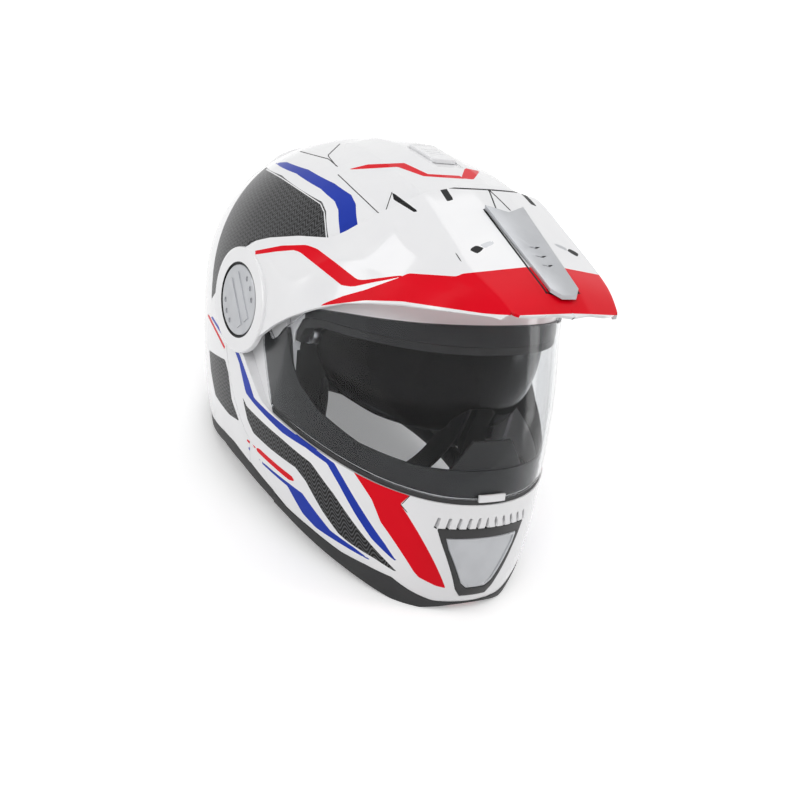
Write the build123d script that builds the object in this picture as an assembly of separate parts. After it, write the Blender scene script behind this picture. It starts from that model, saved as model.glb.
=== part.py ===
from build123d import *
import os
from math import atan, cos, degrees, pi, radians, sin, sqrt

# A modular dual sport helmet. Lengths are in millimetres.
# The pieces are drawn upright as worn: +X is the wearer's left, the face looks along -Y and
# the shield's pivot axis is the X axis. The seat at the end leans them onto their lower rim.
# In side outlines the first number runs forward and the second runs up.

# Shell
half_width = 115.0
front_reach = 163.0
rear_reach = 172.0
crown_rise = 120.0
chin_drop = 180.0
front_roundness = 2.25
rear_roundness = 2.15
section_points = 16
shell_wall = 4.0
overrun = 40.0
running_gap = 0.4
seat_gap = 0.3
bore_clearance = 0.06

# Pivot stack, as distances from the middle plane
pocket_floor = 103.0
pocket_radius = 35.5
pocket_flange = 3.2
chin_arm_inner = 103.4
chin_arm_outer = 106.4
chin_arm_radius = 27.0
shield_arm_inner = 106.8
shield_arm_outer = 109.3
shield_arm_radius = 26.0
ledge_radius = 33.0
hub_inner = 109.7
hub_step = 112.7
boss_inner = 115.4
boss_outer = 119.6
boss_radius = 38.0
hub_radius = 24.0
pin_radius = 6.0
pin_end = 112.3
cover_radius = 25.3
cover_floor = 117.0
cover_face = 119.5
cover_stub_radius = 9.0
cover_bar_height = 0.7

# Chin bar and shield
chin_wall = 4.5
chin_recess = 4.9
shield_half_width = 113.5
shield_wall = 2.2
shield_clearance = 2.7
brow_block = 12.0
brow_gap = 0.6

# Peak
peak_wall = 2.6
strip_width = 32.0
strip_foot_width = 23.0
strip_proud = 2.6

# Liner
head_half_width = 80.0
head_front = 108.0
head_rear = 120.0
head_top = 84.0
liner_skin = 0.4
liner_recess = 99.2
liner_flange_inset = 14.0
pad_thickness = 9.0

# Lean on the lower rim
rim_drop = 176.0
rim_forward = 154.0
lean_slope = 0.2215
lean = degrees(atan(lean_slope))

# Forms, outlines and sizes of the single pieces. A name that ends in share or shares holds
# shares of the shell's width, reach or rise.
# Shares of drop, half width, front reach and rear reach below the pivot level
lower_shares = [
    (0.17, 0.996, 1.022, 0.99),
    (0.34, 0.978, 1.037, 0.945),
    (0.5, 0.948, 1.049, 0.878),
    (0.67, 0.904, 1.061, 0.802),
    (0.84, 0.843, 1.058, 0.744),
    (1.03, 0.74, 1.0, 0.69),
]
rise_shares = [0, 0.25, 0.5, 0.7, 0.85, 0.94, 0.985]
# Shares of height, half width and forward reach of the shield
shield_shares = [
    (0.5, 0.987, 0.8466), (0.375, 0.987, 0.9049), (0.25, 0.987, 0.9387), (0, 0.987, 0.9755),
    (-0.25, 0.987, 1.0123), (-0.5, 0.9696, 1.0368), (-0.7667, 0.9391, 1.0521),
    (-0.8833, 0.9217, 1.0552),
]
shell_rim_shares = [
    (-1.227, -0.8167), (-0.8589, -0.8417), (-0.3497, -0.9083), (-0.1472, -0.9042), (-0.0307, -0.9167),
    (0.1411, -0.9833), (0.3129, -1.0625), (1.4724, -1.5833), (1.4724, -2.1667), (-1.227, -2.1667),
]
trim_low_shares = [
    (-1.227, -0.8917), (-0.9202, -0.9058), (-0.7239, -0.965), (-0.4172, -0.9917), (-0.1595, -0.9875),
    (0.0429, -1.0333), (0.2515, -1.1083), (0.3926, -1.1708), (0.546, -1.25), (0.7055, -1.3333),
    (0.7975, -1.3875), (0.8957, -1.4517), (0.9693, -1.4742), (1.0061, -1.4583), (1.0552, -1.425),
    (1.4724, -1.4), (1.4724, -2.5), (-1.227, -2.5),
]
eye_port_shares = [
    (1.4724, 0.075), (0.5031, 0.075), (0.4049, 0.0417), (0.362, -0.05), (0.3558, -0.15),
    (0.3742, -0.3333), (0.3804, -0.5), (0.3742, -0.75), (0.3436, -1.0583), (0.3436, -2.1667),
    (1.4724, -2.1667),
]
seam_shares = [
    (-0.1534, -0.0833), (-0.1227, -0.2667), (-0.1166, -0.3583), (-0.0798, -0.4833), (-0.0368, -0.6),
    (0.0307, -0.7167), (0.0859, -0.7875), (0.1656, -0.8583), (0.2209, -0.9333), (0.3129, -1.0625),
]
sweep_shares = [
    (0.3129, -1.6667), (1.4724, -1.6667), (1.4724, 0.0833), (0.5521, 0.25), (0.4663, 0.3333),
    (0.2699, 0.4833), (0.0613, 0.4), (-0.0798, 0.3292),
]
seam_gap_share = 0.0043
brow_shares = [
    (0, 0.9436), (0.1739, 0.935), (0.3652, 0.8963), (0.5565, 0.8123), (0.713, 0.6933), (0.8, 0.5939),
    (0.8783, 0.4607), (0.9235, 0.3558),
]
brow_low_share = 0.184
brow_turn = 120.0
brow_sweep = 100.0
brow_zone_shares = [
    (0.2454, -0.1667), (1.4724, -0.1667), (1.4724, 0.625), (0.7362, 0.625), (0.5521, 0.5),
    (0.3681, 0.4167), (0.2454, 0.3333),
]
chin_lip_shares = [
    (1.4724, -0.625), (1.0736, -0.625), (0.9202, -0.6042), (0.7362, -0.55), (0.5521, -0.4417),
    (0.4417, -0.3333), (0.3804, -0.225), (0.3497, -0.1167), (0.2945, 0.0083), (0.2209, 0.1),
    (0.1227, 0.15),
]
chin_low_shares = [
    (0.3129, -1.0625), (0.411, -1.1208), (0.5583, -1.175), (0.7117, -1.2417), (0.816, -1.2667),
    (0.908, -1.3), (0.9509, -1.3583), (1, -1.4167), (1.0736, -1.4375), (1.4724, -1.4375),
]
ledge_shares = [
    (0.0184, -0.2833), (0.1104, -0.3917), (0.1902, -0.4917), (0.227, -0.5333), (0.3006, -0.5708),
    (0.4785, -0.6333), (0.6871, -0.7), (0.8405, -0.75), (0.9571, -0.7833), (1.0552, -0.8125),
    (1.4724, -0.8417), (1.4724, 0.75), (0, 0.75),
]
shield_shares_side = [
    (0.1595, -0.2167), (0.2147, -0.35), (0.2883, -0.5333), (0.3681, -0.5667), (0.4785, -0.6),
    (0.6871, -0.6667), (0.8405, -0.7167), (0.9571, -0.75), (1.0429, -0.7783), (1.4724, -0.8083),
    (1.4724, 0.2042), (0.9632, 0.2042), (0.9141, 0.195), (0.8344, 0.1792), (0.7178, 0.1625),
    (0.6135, 0.1483), (0.4847, 0.125), (0.4294, 0.0833), (0.3804, 0.0167), (0.319, -0.05),
    (0.2761, -0.1167), (0.2331, -0.15), (0.1472, -0.075),
]
vent_shares = [
    (-0.3217, -0.95), (0.3217, -0.95), (0.287, -1.0333), (0.1391, -1.3333), (0.0957, -1.3833),
    (-0.0957, -1.3833), (-0.1391, -1.3333), (-0.287, -1.0333),
]
plaque_shares = [
    (-0.2609, -1.0083), (0.2609, -1.0083), (0.2348, -1.075), (0.113, -1.2917), (0.0696, -1.325),
    (-0.0696, -1.325), (-0.113, -1.2917), (-0.2348, -1.075),
]
slot_count = 11
slot_pitch = 7.4
slot_width = 2.6
slot_length = 8.0
slot_height_share = -0.92
slot_lean = 14.0
# Arches of the peak from the boss to the brim: forward reach, then the half width and height
# of the ridge, the crease, two side points and the foot
peak_rows_shares = [
    (-0.2761, (0.1217, 0.9833), (0.5217, 0.8667), (0.8696, 0.6), (1.04, 0.2833), (1.04, -0.5)),
    (0, (0.1217, 1.0333), (0.487, 0.9), (0.8583, 0.6167), (1.0383, 0.3167), (1.04, -0.5)),
    (0.184, (0.1217, 1.0333), (0.4696, 0.9), (0.8626, 0.5833), (1.0148, 0.3167), (1.0365, -0.5)),
    (0.3681, (0.1217, 1.0083), (0.4348, 0.9), (0.7826, 0.6417), (0.987, 0.2583), (1.0348, -0.4167)),
    (0.5215, (0.1217, 0.9667), (0.4174, 0.8833), (0.6696, 0.6833), (0.8783, 0.4167), (1.0174, -0.0833)),
    (0.6748, (0.1217, 0.9), (0.4174, 0.8417), (0.6348, 0.6667), (0.7826, 0.45), (0.913, 0.1)),
    (0.8098, (0.1217, 0.8083), (0.4348, 0.75), (0.6, 0.5667), (0.6957, 0.4167), (0.8087, 0.2)),
    (0.9387, (0.1217, 0.7208), (0.4435, 0.6625), (0.5478, 0.5333), (0.6261, 0.4167), (0.7304, 0.2417)),
    (1.0736, (0.1217, 0.6292), (0.4522, 0.5667), (0.513, 0.4917), (0.5565, 0.425), (0.6174, 0.3)),
    (1.227, (0.1217, 0.525), (0.4087, 0.4708), (0.4261, 0.4333), (0.4435, 0.3833), (0.4696, 0.3167)),
    (1.4233, (0.1217, 0.3083), (0.313, 0.2667), (0.3304, 0.225), (0.3478, 0.1833), (0.3739, 0.1167)),
]
peak_low_shares = [
    (0, -0.3167), (0.0613, -0.3058), (0.1166, -0.2417), (0.2086, -0.1417), (0.3129, -0.0333),
    (0.4049, 0.05), (0.5153, 0.1333), (0.6626, 0.225), (0.7669, 0.2667), (0.9018, 0.3083),
    (1.0368, 0.3333), (1.2331, 0.3667), (1.3129, 0.3583), (1.4724, 0.1667),
]
peak_back_shares = [
    (1.4724, 1.1667), (0.6564, 1.1667), (0.6564, 0.8667), (0.6135, 0.7833), (0.5583, 0.6833),
    (0.4847, 0.5667), (0.4294, 0.5167), (0.2822, 0.4792), (0.1227, 0.4167), (0.0491, 0.375),
    (0, 0.3167),
]
brim_plan_shares = [
    (-1.1304, -0.3681), (-1.1304, 0.4908), (-0.887, 0.6626), (-0.8304, 0.7669), (-0.7478, 0.9018),
    (-0.6478, 1.0368), (-0.4783, 1.2331), (-0.2348, 1.319), (0, 1.3436), (0.2348, 1.319),
    (0.4783, 1.2331), (0.6478, 1.0368), (0.7478, 0.9018), (0.8304, 0.7669), (0.887, 0.6626),
    (1.1304, 0.4908), (1.1304, -0.3681),
]
inset_directions = [(0, 1), (0.25, 0.97), (0.8, 0.6), (0.97, 0.25), (1, 0)]
rear_slot_shares = [
    (0.1913, 0.6871), (0.2522, 0.6871), (0.2696, 0.773), (0.2087, 0.773),
]
panel_slot_shares = [
    (0.2, 0.8957), (0.3304, 0.9202), (0.3304, 0.9571), (0.2, 0.9325),
]
strip_line_shares = [
    (1.2945, 0.48), (1.227, 0.5258), (1.0736, 0.63), (0.9387, 0.7217), (0.8037, 0.8133),
]
strip_wall = 2.2
notch_depth = 6.0
chevron_depth = 0.6
chevron_width = 1.6
chevron_turn = 24.0
chevron_places_share = [1.0429, 1.092, 1.1411]
housing_rows_shares = [
    (-0.2086, (0.0696, 0.9717), (0.1739, 0.9458), (0.2957, 0.9), (0.3478, 0.8583), (0.3652, 0.5)),
    (-0.1227, (0.1217, 0.9983), (0.2957, 0.9583), (0.4348, 0.8833), (0.4783, 0.8333), (0.5043, 0.5)),
    (0, (0.1391, 1.01), (0.3304, 0.9625), (0.4957, 0.8708), (0.5391, 0.8217), (0.5565, 0.5)),
    (0.184, (0.1391, 0.9983), (0.3652, 0.9458), (0.5217, 0.8542), (0.5652, 0.8167), (0.5913, 0.5)),
    (0.3681, (0.1391, 0.9567), (0.3826, 0.9042), (0.5217, 0.8042), (0.5696, 0.7583), (0.6087, 0.4583)),
    (0.5215, (0.1391, 0.9042), (0.3826, 0.8583), (0.513, 0.7375), (0.5652, 0.6792), (0.6087, 0.375)),
    (0.6411, (0.1391, 0.8792), (0.3826, 0.8167), (0.4957, 0.6958), (0.5217, 0.625), (0.5739, 0.3333)),
]
slider_length = 34.0
slider_width = 22.0
slider_depth = 3.2
slider_travel = 8.0
slider_forward_share = 0.2454
slider_lift = 0.5
slider_lean = 9.0
grip_pitch = 4.4
grip_length = 13.2
grip_width = 1.2
grip_depth = 0.5
rear_rows_shares = [
    (-1.0552, (0.087, 0.3667), (0.1913, 0.3167), (0.2783, 0.2167), (0.313, 0.15), (0.3304, 0)),
    (-0.9816, (0.1217, 0.5), (0.2609, 0.45), (0.3826, 0.3333), (0.4348, 0.25), (0.4696, 0)),
    (-0.8589, (0.1391, 0.675), (0.313, 0.6167), (0.4522, 0.5), (0.5043, 0.4), (0.5391, 0.0833)),
    (-0.7239, (0.1217, 0.8), (0.2783, 0.75), (0.4, 0.65), (0.4522, 0.5667), (0.487, 0.25)),
    (-0.6135, (0.0696, 0.8583), (0.1739, 0.825), (0.2609, 0.7667), (0.2957, 0.7), (0.3304, 0.4167)),
]
exhaust_slot_shares = [
    (0.1043, -0.7853), (0.2957, -0.7853), (0.2957, -0.816), (0.1043, -0.816),
]
trim_inner = 7.0
trim_front_shares = [
    (0.311, -0.8333), (1.4724, -0.8333), (1.4724, -2.1667), (0.311, -2.1667),
]
trim_back_shares = [
    (0.3153, -0.8333), (-1.4724, -0.8333), (-1.4724, -2.1667), (0.3153, -2.1667),
]
chin_band_shares = [
    (0.3129, -1.065), (0.411, -1.1233), (0.5583, -1.1775), (0.7117, -1.2442), (0.816, -1.2692),
    (0.908, -1.3025), (0.9509, -1.3608), (1, -1.4192), (1.0736, -1.44), (1.4724, -1.44),
    (1.4724, -2.1667), (0.3129, -2.1667),
]
trim_flare = 0.8
chin_trim_inner = 14.0
button_width = 26.0
button_depth = 10.0
button_height = 9.0
button_travel = 3.0
button_forward_share = 0.9632
button_low_share = -1.4633
brow_rim_shares = [
    (1.4724, 0.0717), (0.5043, 0.0717), (0.4061, 0.0383), (0.3681, -0.05), (0.3681, -0.1),
    (0.4049, -0.1), (0.4049, -0.0583), (0.4294, -0.0083), (0.5153, 0.0283), (1.4724, 0.0283),
]
recess_front_shares = [
    (0.2454, -0.25), (0.5521, -0.25), (0.5521, 0.1667), (0.2454, 0.1667),
]
seal_shares = [
    (0.3006, -0.5683), (0.4785, -0.6308), (0.6871, -0.6975), (0.8405, -0.7475), (0.9571, -0.7808),
    (1.0552, -0.81), (1.4724, -0.8383), (1.4724, -0.8142), (1.0491, -0.7842), (0.9571, -0.7558),
    (0.8405, -0.7225), (0.6871, -0.6725), (0.4785, -0.6058), (0.3681, -0.5725), (0.2914, -0.54),
]
tab_width = 22.0
tab_height = 5.0
tab_proud = 2.4
tab_height_share = -0.7667
plaque_proud = 0.6
plaque_depth = 1.8
hinge_radius = 1.4
hinge_length = 14.0
hinge_forward_share = 1.0491
hinge_up_share = -1.3117
frame_proud = 1.0
frame_depth = 1.5
mesh_seat = 1.8
mesh_wall = 1.0
guard_depth = 2.6
gasket_inset = 1.0
mesh_edge = 2.0
mesh_slots = 5
mesh_slot_width = 17.0
mesh_low_share = -1.3167
mesh_pitch_share = 0.0667
guard_shares = [
    (-0.2957, -0.7833), (0.2957, -0.7833), (0.2609, -0.6167), (0.1391, -0.45), (-0.1391, -0.45),
    (-0.2609, -0.6167),
]
chin_pad_start = 40.0
chin_pad_inner = 16.0
chin_pad_shares = [
    (0.5153, -0.8333), (0.6135, -0.7667), (0.7975, -0.7917), (0.9816, -0.825), (1.4724, -0.8667),
    (1.4724, -1.3333), (0.9816, -1.3167), (0.908, -1.2833), (0.816, -1.25), (0.7117, -1.2208),
    (0.5644, -1.1583), (0.4908, -1.1167),
]
curtain_shares = [
    (0.6871, -1.3667), (1.4724, -1.4617), (1.4724, -1.4733), (0.6871, -1.3783),
]
curtain_reach = 18.0
cover_bar_width = 7.0
cover_bar_pitch = 11.0
cover_bar_length = 36.0
cover_hole_radius = 1.9
cover_hole_ring = 20.0
cover_hole_depth = 1.0
cover_edge = 0.6
cover_turn = -38.0
cover_hole_pitch = 24.0
pin_edge = 0.8
head_low_shares = [
    (1.1, 1.0, 0.85, 0.72),
    (0.7, 1.0, 0.95, 0.8),
    (0.4, 1.0, 1.0, 0.9),
    (0.2, 1.0, 1.0, 0.97),
]
liner_port_shares = [
    (1.4724, 0.1), (0.4785, 0.1), (0.3926, 0.0667), (0.3436, -0.0167), (0.3374, -0.25), (0.319, -0.5),
    (0.3067, -2.1667), (1.4724, -2.1667),
]
liner_rim_shares = [
    (-1.227, -0.5667), (-0.8589, -0.6), (-0.3926, -0.6833), (0, -0.8), (0.319, -0.9167),
    (0.319, -2.1667), (-1.227, -2.1667),
]
visor_forward = 62.0
visor_down = 6.0
visor_wall = 2.0
visor_shares = [
    (0.7913, 0.087), (0.7652, 0.1913), (0.7304, 0.2783), (0.6261, 0.4348), (0.4957, 0.5826),
    (0.3478, 0.6826), (0.1739, 0.7435), (0, 0.7652),
]
visor_eye_radius = 8.0
visor_pin_inner = 86.5
visor_pin_outer = 95.0
visor_pocket_gap = 1.2
visor_pocket_low = -50.0
visor_pocket_high = 84.0
visor_low = -60.0
visor_high = 26.0
visor_side_share = 0.5
visor_push_share = 0.4
visor_low_shares = [
    (0.3558, -0.25), (0.4908, -0.35), (0.6442, -0.4333), (0.7975, -0.4833), (1.4724, -0.4833),
    (1.4724, -1), (0.1227, -1), (0.1227, -0.25),
]
nose_shares = [
    (-0.2087, -0.5833), (-0.1478, -0.3667), (-0.0783, -0.3167), (0.0783, -0.3167), (0.1478, -0.3667),
    (0.2087, -0.5833),
]
crown_pad_shares = [
    (1.4724, 0.1333), (0.3681, 0.1167), (0, 0.05), (-0.4908, -0.0833), (-1.4724, -0.3333),
    (-1.4724, 1.6667), (1.4724, 1.6667),
]
pad_hole_places = [-46.0, 6.0, 58.0]
pad_hole_side = 34.0
pad_hole_width = 30.0
pad_hole_length = 36.0
cheek_outline_shares = [
    (-0.1104, -0.35), (0.2822, -0.3167), (0.319, -0.5), (0.319, -0.8), (0.2945, -0.9667),
    (0.0982, -0.95), (-0.0859, -0.8667), (-0.184, -0.6667),
]
cheek_levels = [(78.5, 3.0), (71.0, 1.5), (63.0, 4.0), (57.0, 9.0)]
cheek_corner = 12.0
strap_half_span = 68.0
strap_sag = 76.0
strap_top_share = -0.4667
strap_wall = 2.2
strap_width = 22.0
strap_slack = 0.8
strap_forward_share = 0.2331
anchor_radius = 8.0
anchor_slack = 0.8
anchor_drop = 7.0
anchor_seat = 4.8
buckle_length = 34.0
buckle_width = 26.0
buckle_depth = 9.0
buckle_middle = -17.0
buckle_lean = -13.0
lever_length = 22.0
lever_depth = 3.0
lever_width_share = 0.7
latch_forward_share = 0.3804
latch_up_share = -0.8833
latch_pin_radius = 2.5
latch_inner = 86.0
latch_plate_wall = 3.0
latch_reach = 16.0
latch_room = 46.0
latch_pin_length = 9.0
bracket_length = 25.6
bracket_height = 11.2
hook_height = 12.8
knob_length = 14.0
knob_height = 5.0
knob_travel = 12.0
knob_forward_share = 0.1104
knob_up_share = -1.0167
knob_inner = 98.0
knob_outer = 106.0
ridge_depth = 0.6
ridge_width = 1.2
neck_points = 12
neck_turn = 110.0
neck_half_width = 87.3
neck_reach = 119.3
neck_lift = 16.0
neck_wall = 18.0
neck_height = 22.0


def sideShape(shares):
    """Face in the middle plane from forward and upward shares."""
    points = [(-f * front_reach, u * crown_rise) for f, u in shares]
    return Plane.YZ * Polygon(*points, align=None)


def sidePrism(face, inner=0.0, outer=None):
    """Side outline through the whole width, or between two distances on the left."""
    if outer is None:
        return extrude(face, amount=half_width + overrun, both=True)
    return Pos(inner, 0, 0) * extrude(face, amount=outer - inner, dir=(1, 0, 0))


def frontPrism(shares):
    """Outline seen from the front, pushed through the front half."""
    points = [(x * half_width, u * crown_rise) for x, u in shares]
    face = Plane.XZ * Polygon(*points, align=None)
    return extrude(face, amount=front_reach + 2 * overrun, dir=(0, -1, 0))


def both(left):
    """A left piece and its mirror image."""
    return left, mirror(left, about=Plane.YZ)


def section(z, w, f, r, roundness=None):
    """Egg-shaped level section."""
    points = []
    for i in range(section_points):
        turn = pi / 2 + 2 * pi * i / section_points
        c, s = cos(turn), sin(turn)
        reach, power = (r, rear_roundness) if s > 0 else (f, front_roundness)
        x = w * (1 if c > 0 else -1) * abs(c) ** (2 / power)
        y = reach * (1 if s > 0 else -1) * abs(s) ** (2 / power)
        points.append((x, y, z))
    return Face(Wire([Spline(*points, periodic=True)]))


def shellForm(inset=0.0):
    """Outer helmet form, drawn in by the inset."""
    w, f, r, c = (v - inset for v in (half_width, front_reach, rear_reach, crown_rise))
    faces = []
    for d, a, b, g in reversed(lower_shares):
        faces.append(section(-d * chin_drop, a * half_width - inset,
                             b * front_reach - inset, g * rear_reach - inset))
    for s in rise_shares:
        k = sqrt(1 - s * s)
        faces.append(section(s * c, k * w, k * f, k * r))
    faces.append(Vertex(0, 0, c))
    return loft(faces)


def shieldForm(inset=0.0):
    """Form of the face shield, drawn in by the inset."""
    faces = []
    for u, w, f in shield_shares:
        faces.append(section(u * crown_rise, w * half_width - inset,
                             f * front_reach - inset, front_reach / 2))
    return loft(faces)


def slabBetween(distance):
    """Everything nearer the middle plane than the distance."""
    return Box(2 * distance, 4 * front_reach, 4 * front_reach)


def disc(radius, inner, outer):
    """Round plate on the pivot axis at the left."""
    return Pos((inner + outer) / 2, 0, 0) * Rot(0, 90, 0) * Cylinder(radius, outer - inner)


print("forms")
form = shellForm()
inside = shellForm(shell_wall)
shield_out = shieldForm()
shield_in = shieldForm(shield_wall)
under_shield = shieldForm(shield_clearance) & slabBetween(chin_arm_outer)
cheek_in = shellForm(chin_wall) & slabBetween(chin_arm_inner)
recess_out = shellForm(chin_recess) & slabBetween(pocket_floor)
recess_in = shellForm(chin_recess + pocket_flange) & slabBetween(pocket_floor - pocket_flange)

# Side outlines

rim_cut = sidePrism(sideShape(shell_rim_shares))
trim_cut = sidePrism(sideShape(trim_low_shares))
port_cut = sidePrism(sideShape(eye_port_shares))
back_seam_shares = [(f - seam_gap_share, u) for f, u in seam_shares]
pocket_face = sideShape(back_seam_shares + sweep_shares)
pocket_zone = sidePrism(pocket_face)
flange_zone = sidePrism(offset(pocket_face, pocket_flange, kind=Kind.INTERSECTION))
for side in (1, -1):
    end = Pos(side * half_width, 0, 0) * Rot(0, 90, 0)
    pocket_zone += end * Cylinder(pocket_radius, half_width)
    flange_zone += end * Cylinder(pocket_radius + pocket_flange, half_width)

# The brow is turned about the pivot axis, so that the opening shield clears it


def browCutter():
    curve = [(x * half_width, r * front_reach - brow_gap) for x, r in brow_shares]
    left = Spline(*curve)
    right = mirror(left, about=Plane.YZ)
    edge = half_width + overrun
    far = front_reach + overrun
    low = brow_low_share * front_reach
    end_x = curve[-1][0]
    rest = Polyline((end_x, curve[-1][1]), (end_x, low), (edge, low), (edge, far), (-edge, far),
                    (-edge, low), (-end_x, low), (-end_x, curve[-1][1]))
    face = make_face([left, right, rest])
    return Rot(brow_turn, 0, 0) * revolve(face, Axis.X, brow_sweep)


print("shell")
brow_cut = browCutter()
brow_zone = sidePrism(sideShape(brow_zone_shares))


def outerShell():
    cavity = inside - (flange_zone - recess_in) - (brow_zone - shellForm(brow_block))
    shell = form.cut(cavity, pocket_zone - recess_out, brow_cut, port_cut, rim_cut)
    return shell


# Chin bar outline: the arms, the lip behind the shield and the lower edge


def armed(face, radius, inner, outer):
    """Side outline with a round end on each pivot."""
    whole = sidePrism(face)
    for side in both(disc(radius, inner, outer)):
        whole += side
    return whole


def pierced(shape, radius):
    """The shape with a hole on the pivot axis."""
    return shape - Rot(0, 90, 0) * Cylinder(radius, 2 * half_width + overrun)


print("chin bar")
chin_face = sideShape(seam_shares + chin_low_shares + chin_lip_shares)
chin_zone = armed(chin_face, chin_arm_radius, chin_arm_inner - overrun, chin_arm_outer)
ledge_zone = armed(sideShape(ledge_shares), ledge_radius, chin_arm_inner, half_width + overrun)
ledge_cut = ledge_zone - under_shield

# Chin vent opening and the slanted intake slots above it
vent_face = Plane.XZ * Polygon(*[(x * half_width, u * crown_rise) for x, u in vent_shares], align=None)
vent_zone = extrude(vent_face, amount=front_reach + overrun, dir=(0, -1, 0))
plaque_zone = frontPrism(plaque_shares)


def intakeSlots():
    slots = []
    for i in range(slot_count):
        x = (i - (slot_count - 1) / 2) * slot_pitch
        place = Pos(x, -front_reach, slot_height_share * crown_rise) * Rot(0, slot_lean, 0)
        slots.append(place * Box(slot_width, overrun, slot_length))
    return slots


def chinBar():
    bar = (form & chin_zone) - cheek_in - ledge_cut
    bar = bar.cut(vent_zone, *intakeSlots())
    return pierced(bar, pin_radius + bore_clearance)


def faceShield():
    zone = armed(sideShape(shield_shares_side), shield_arm_radius, shield_arm_inner, shield_arm_outer)
    skin = (shield_out & slabBetween(shield_arm_outer)) & zone
    skin -= shield_in & slabBetween(shield_arm_inner)
    return pierced(skin, pin_radius + bore_clearance)


# Peak


def arch(row, inset):
    """One arch of the peak, drawn in by the inset."""
    y = -row[0] * front_reach
    half = [(x * half_width - i * inset, z * crown_rise - u * inset)
            for (x, z), (i, u) in zip(row[1:], inset_directions)]
    points = [(x, y, z) for x, z in half[::-1]] + [(-x, y, z) for x, z in half]
    return make_face(Polyline(*points, close=True))


def peakForm(inset):
    return loft([arch(row, inset) for row in peak_rows_shares])


def planPrism(shares, low, high):
    """Outline seen from above, pushed from one height to another."""
    points = [(x * half_width, -f * front_reach) for x, f in shares]
    return extrude(Plane.XY.offset(low) * Polygon(*points, align=None), amount=high - low, dir=(0, 0, 1))


def peak():
    skin = peakForm(0) - peakForm(peak_wall)
    zone = sidePrism(sideShape(peak_low_shares + peak_back_shares))
    zone &= planPrism(brim_plan_shares, -crown_rise, 2 * crown_rise)
    skin &= zone
    for side in both(disc(boss_radius, boss_inner, boss_outer) + disc(hub_radius, hub_inner, boss_outer)):
        skin += side
    for side in both(disc(cover_radius + running_gap, cover_floor - running_gap, boss_outer + overrun)):
        skin -= side
    for side in both(disc(cover_stub_radius + bore_clearance, hub_step, boss_outer)):
        skin -= side
    for shares in (rear_slot_shares, panel_slot_shares):
        for side in both(planPrism(shares, 0, 2 * crown_rise)):
            skin -= side
    return pierced(skin, pin_radius + bore_clearance)


# Metal strip down the middle of the peak


def peakStrip():
    line = [(-f * front_reach, u * crown_rise + seat_gap) for f, u in strip_line_shares]
    top = [(y, z + strip_proud) for y, z in line]
    strip = sidePrism(Plane.YZ * Polygon(*(line + top[::-1]), align=None))
    tip, head = line[0][0], line[-1][0]
    plan = [(-strip_width / 2, head), (0, head - notch_depth), (strip_width / 2, head),
            (strip_foot_width / 2, tip + notch_depth), (strip_foot_width / 4, tip),
            (-strip_foot_width / 4, tip), (-strip_foot_width / 2, tip + notch_depth)]
    strip &= extrude(Polygon(*plan, align=None), amount=2 * crown_rise, both=True)
    for place in chevron_places_share:
        level = Pos(0, -place * front_reach, stripHeight(place) + strip_proud + seat_gap)
        for side in (1, -1):
            arm = Box(strip_foot_width / 2, chevron_width, 2 * chevron_depth,
                      align=(Align.MIN if side > 0 else Align.MAX, Align.CENTER, Align.CENTER))
            strip -= level * Rot(0, 0, side * chevron_turn) * arm
    return strip


def stripHeight(share):
    """Height of the strip's seat at a forward share."""
    rows = sorted(strip_line_shares)
    for (f0, u0), (f1, u1) in zip(rows, rows[1:]):
        if f0 <= share <= f1:
            return crown_rise * (u0 + (u1 - u0) * (share - f0) / (f1 - f0))
    return crown_rise * rows[0][1]


# Crown housing with its slider, and the rear exhaust


def housingForm(inset):
    return loft([arch(row, inset) for row in housing_rows_shares])


def crownHousing():
    trough_length = slider_length + slider_travel + 2 * running_gap
    trough = Box(slider_width + 2 * running_gap, trough_length, overrun,
                 align=(Align.CENTER, Align.CENTER, Align.MIN))
    floor = sliderPlane() * Pos(0, -slider_travel / 2, -slider_depth)
    return housingForm(0).cut(shellForm(-seat_gap), floor * trough)


def sliderPlane():
    """Level of the slider's top, leaning with the housing."""
    return Pos(0, -slider_forward_share * front_reach, crown_rise + slider_lift) * Rot(slider_lean, 0, 0)


def topVentSlider():
    body = Box(slider_width, slider_length, slider_depth - running_gap,
               align=(Align.CENTER, Align.CENTER, Align.MAX))
    body = fillet(body.edges().filter_by(Axis.Z), radius=slider_width / 6)
    grips = []
    for i in range(-1, 2):
        grips.append(Pos(0, i * grip_pitch, 0) * Box(grip_length, grip_width, 2 * grip_depth))
    return sliderPlane() * body.cut(*grips)


def rearExhaust():
    spoiler = loft([arch(row, 0) for row in rear_rows_shares]) - shellForm(-seat_gap)
    for side in both(planPrism(exhaust_slot_shares, 0, crown_rise)):
        spoiler -= side
    return spoiler


# Rims and seals


def shellTrim():
    band = (form & rim_cut).cut(shellForm(trim_inner), trim_cut, sidePrism(sideShape(trim_front_shares)))
    turn = radians(lean)
    shift = Pos(0, knob_travel / 2 * cos(turn), knob_travel / 2 * sin(turn))
    return band - shift * knobBlock(knob_travel + 2 * running_gap, 2 * running_gap, overrun)


def chinTrim():
    band = sidePrism(sideShape(chin_band_shares))
    trim = (shellForm(-trim_flare) - shellForm(chin_trim_inner)) & band
    trim = trim.cut(trim_cut, sidePrism(sideShape(trim_back_shares)), buttonHole())
    return trim


def buttonHole():
    hole = Box(button_width + 2 * running_gap, button_depth + 2 * running_gap, overrun)
    return Pos(0, -button_forward_share * front_reach, button_low_share * crown_rise) * hole


def releaseButton():
    block = Box(button_width, button_depth, button_height)
    block = fillet(block.edges().filter_by(Axis.Z), radius=button_depth / 5)
    place = Pos(0, -button_forward_share * front_reach, button_low_share * crown_rise + button_height / 2)
    return place * block


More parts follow.
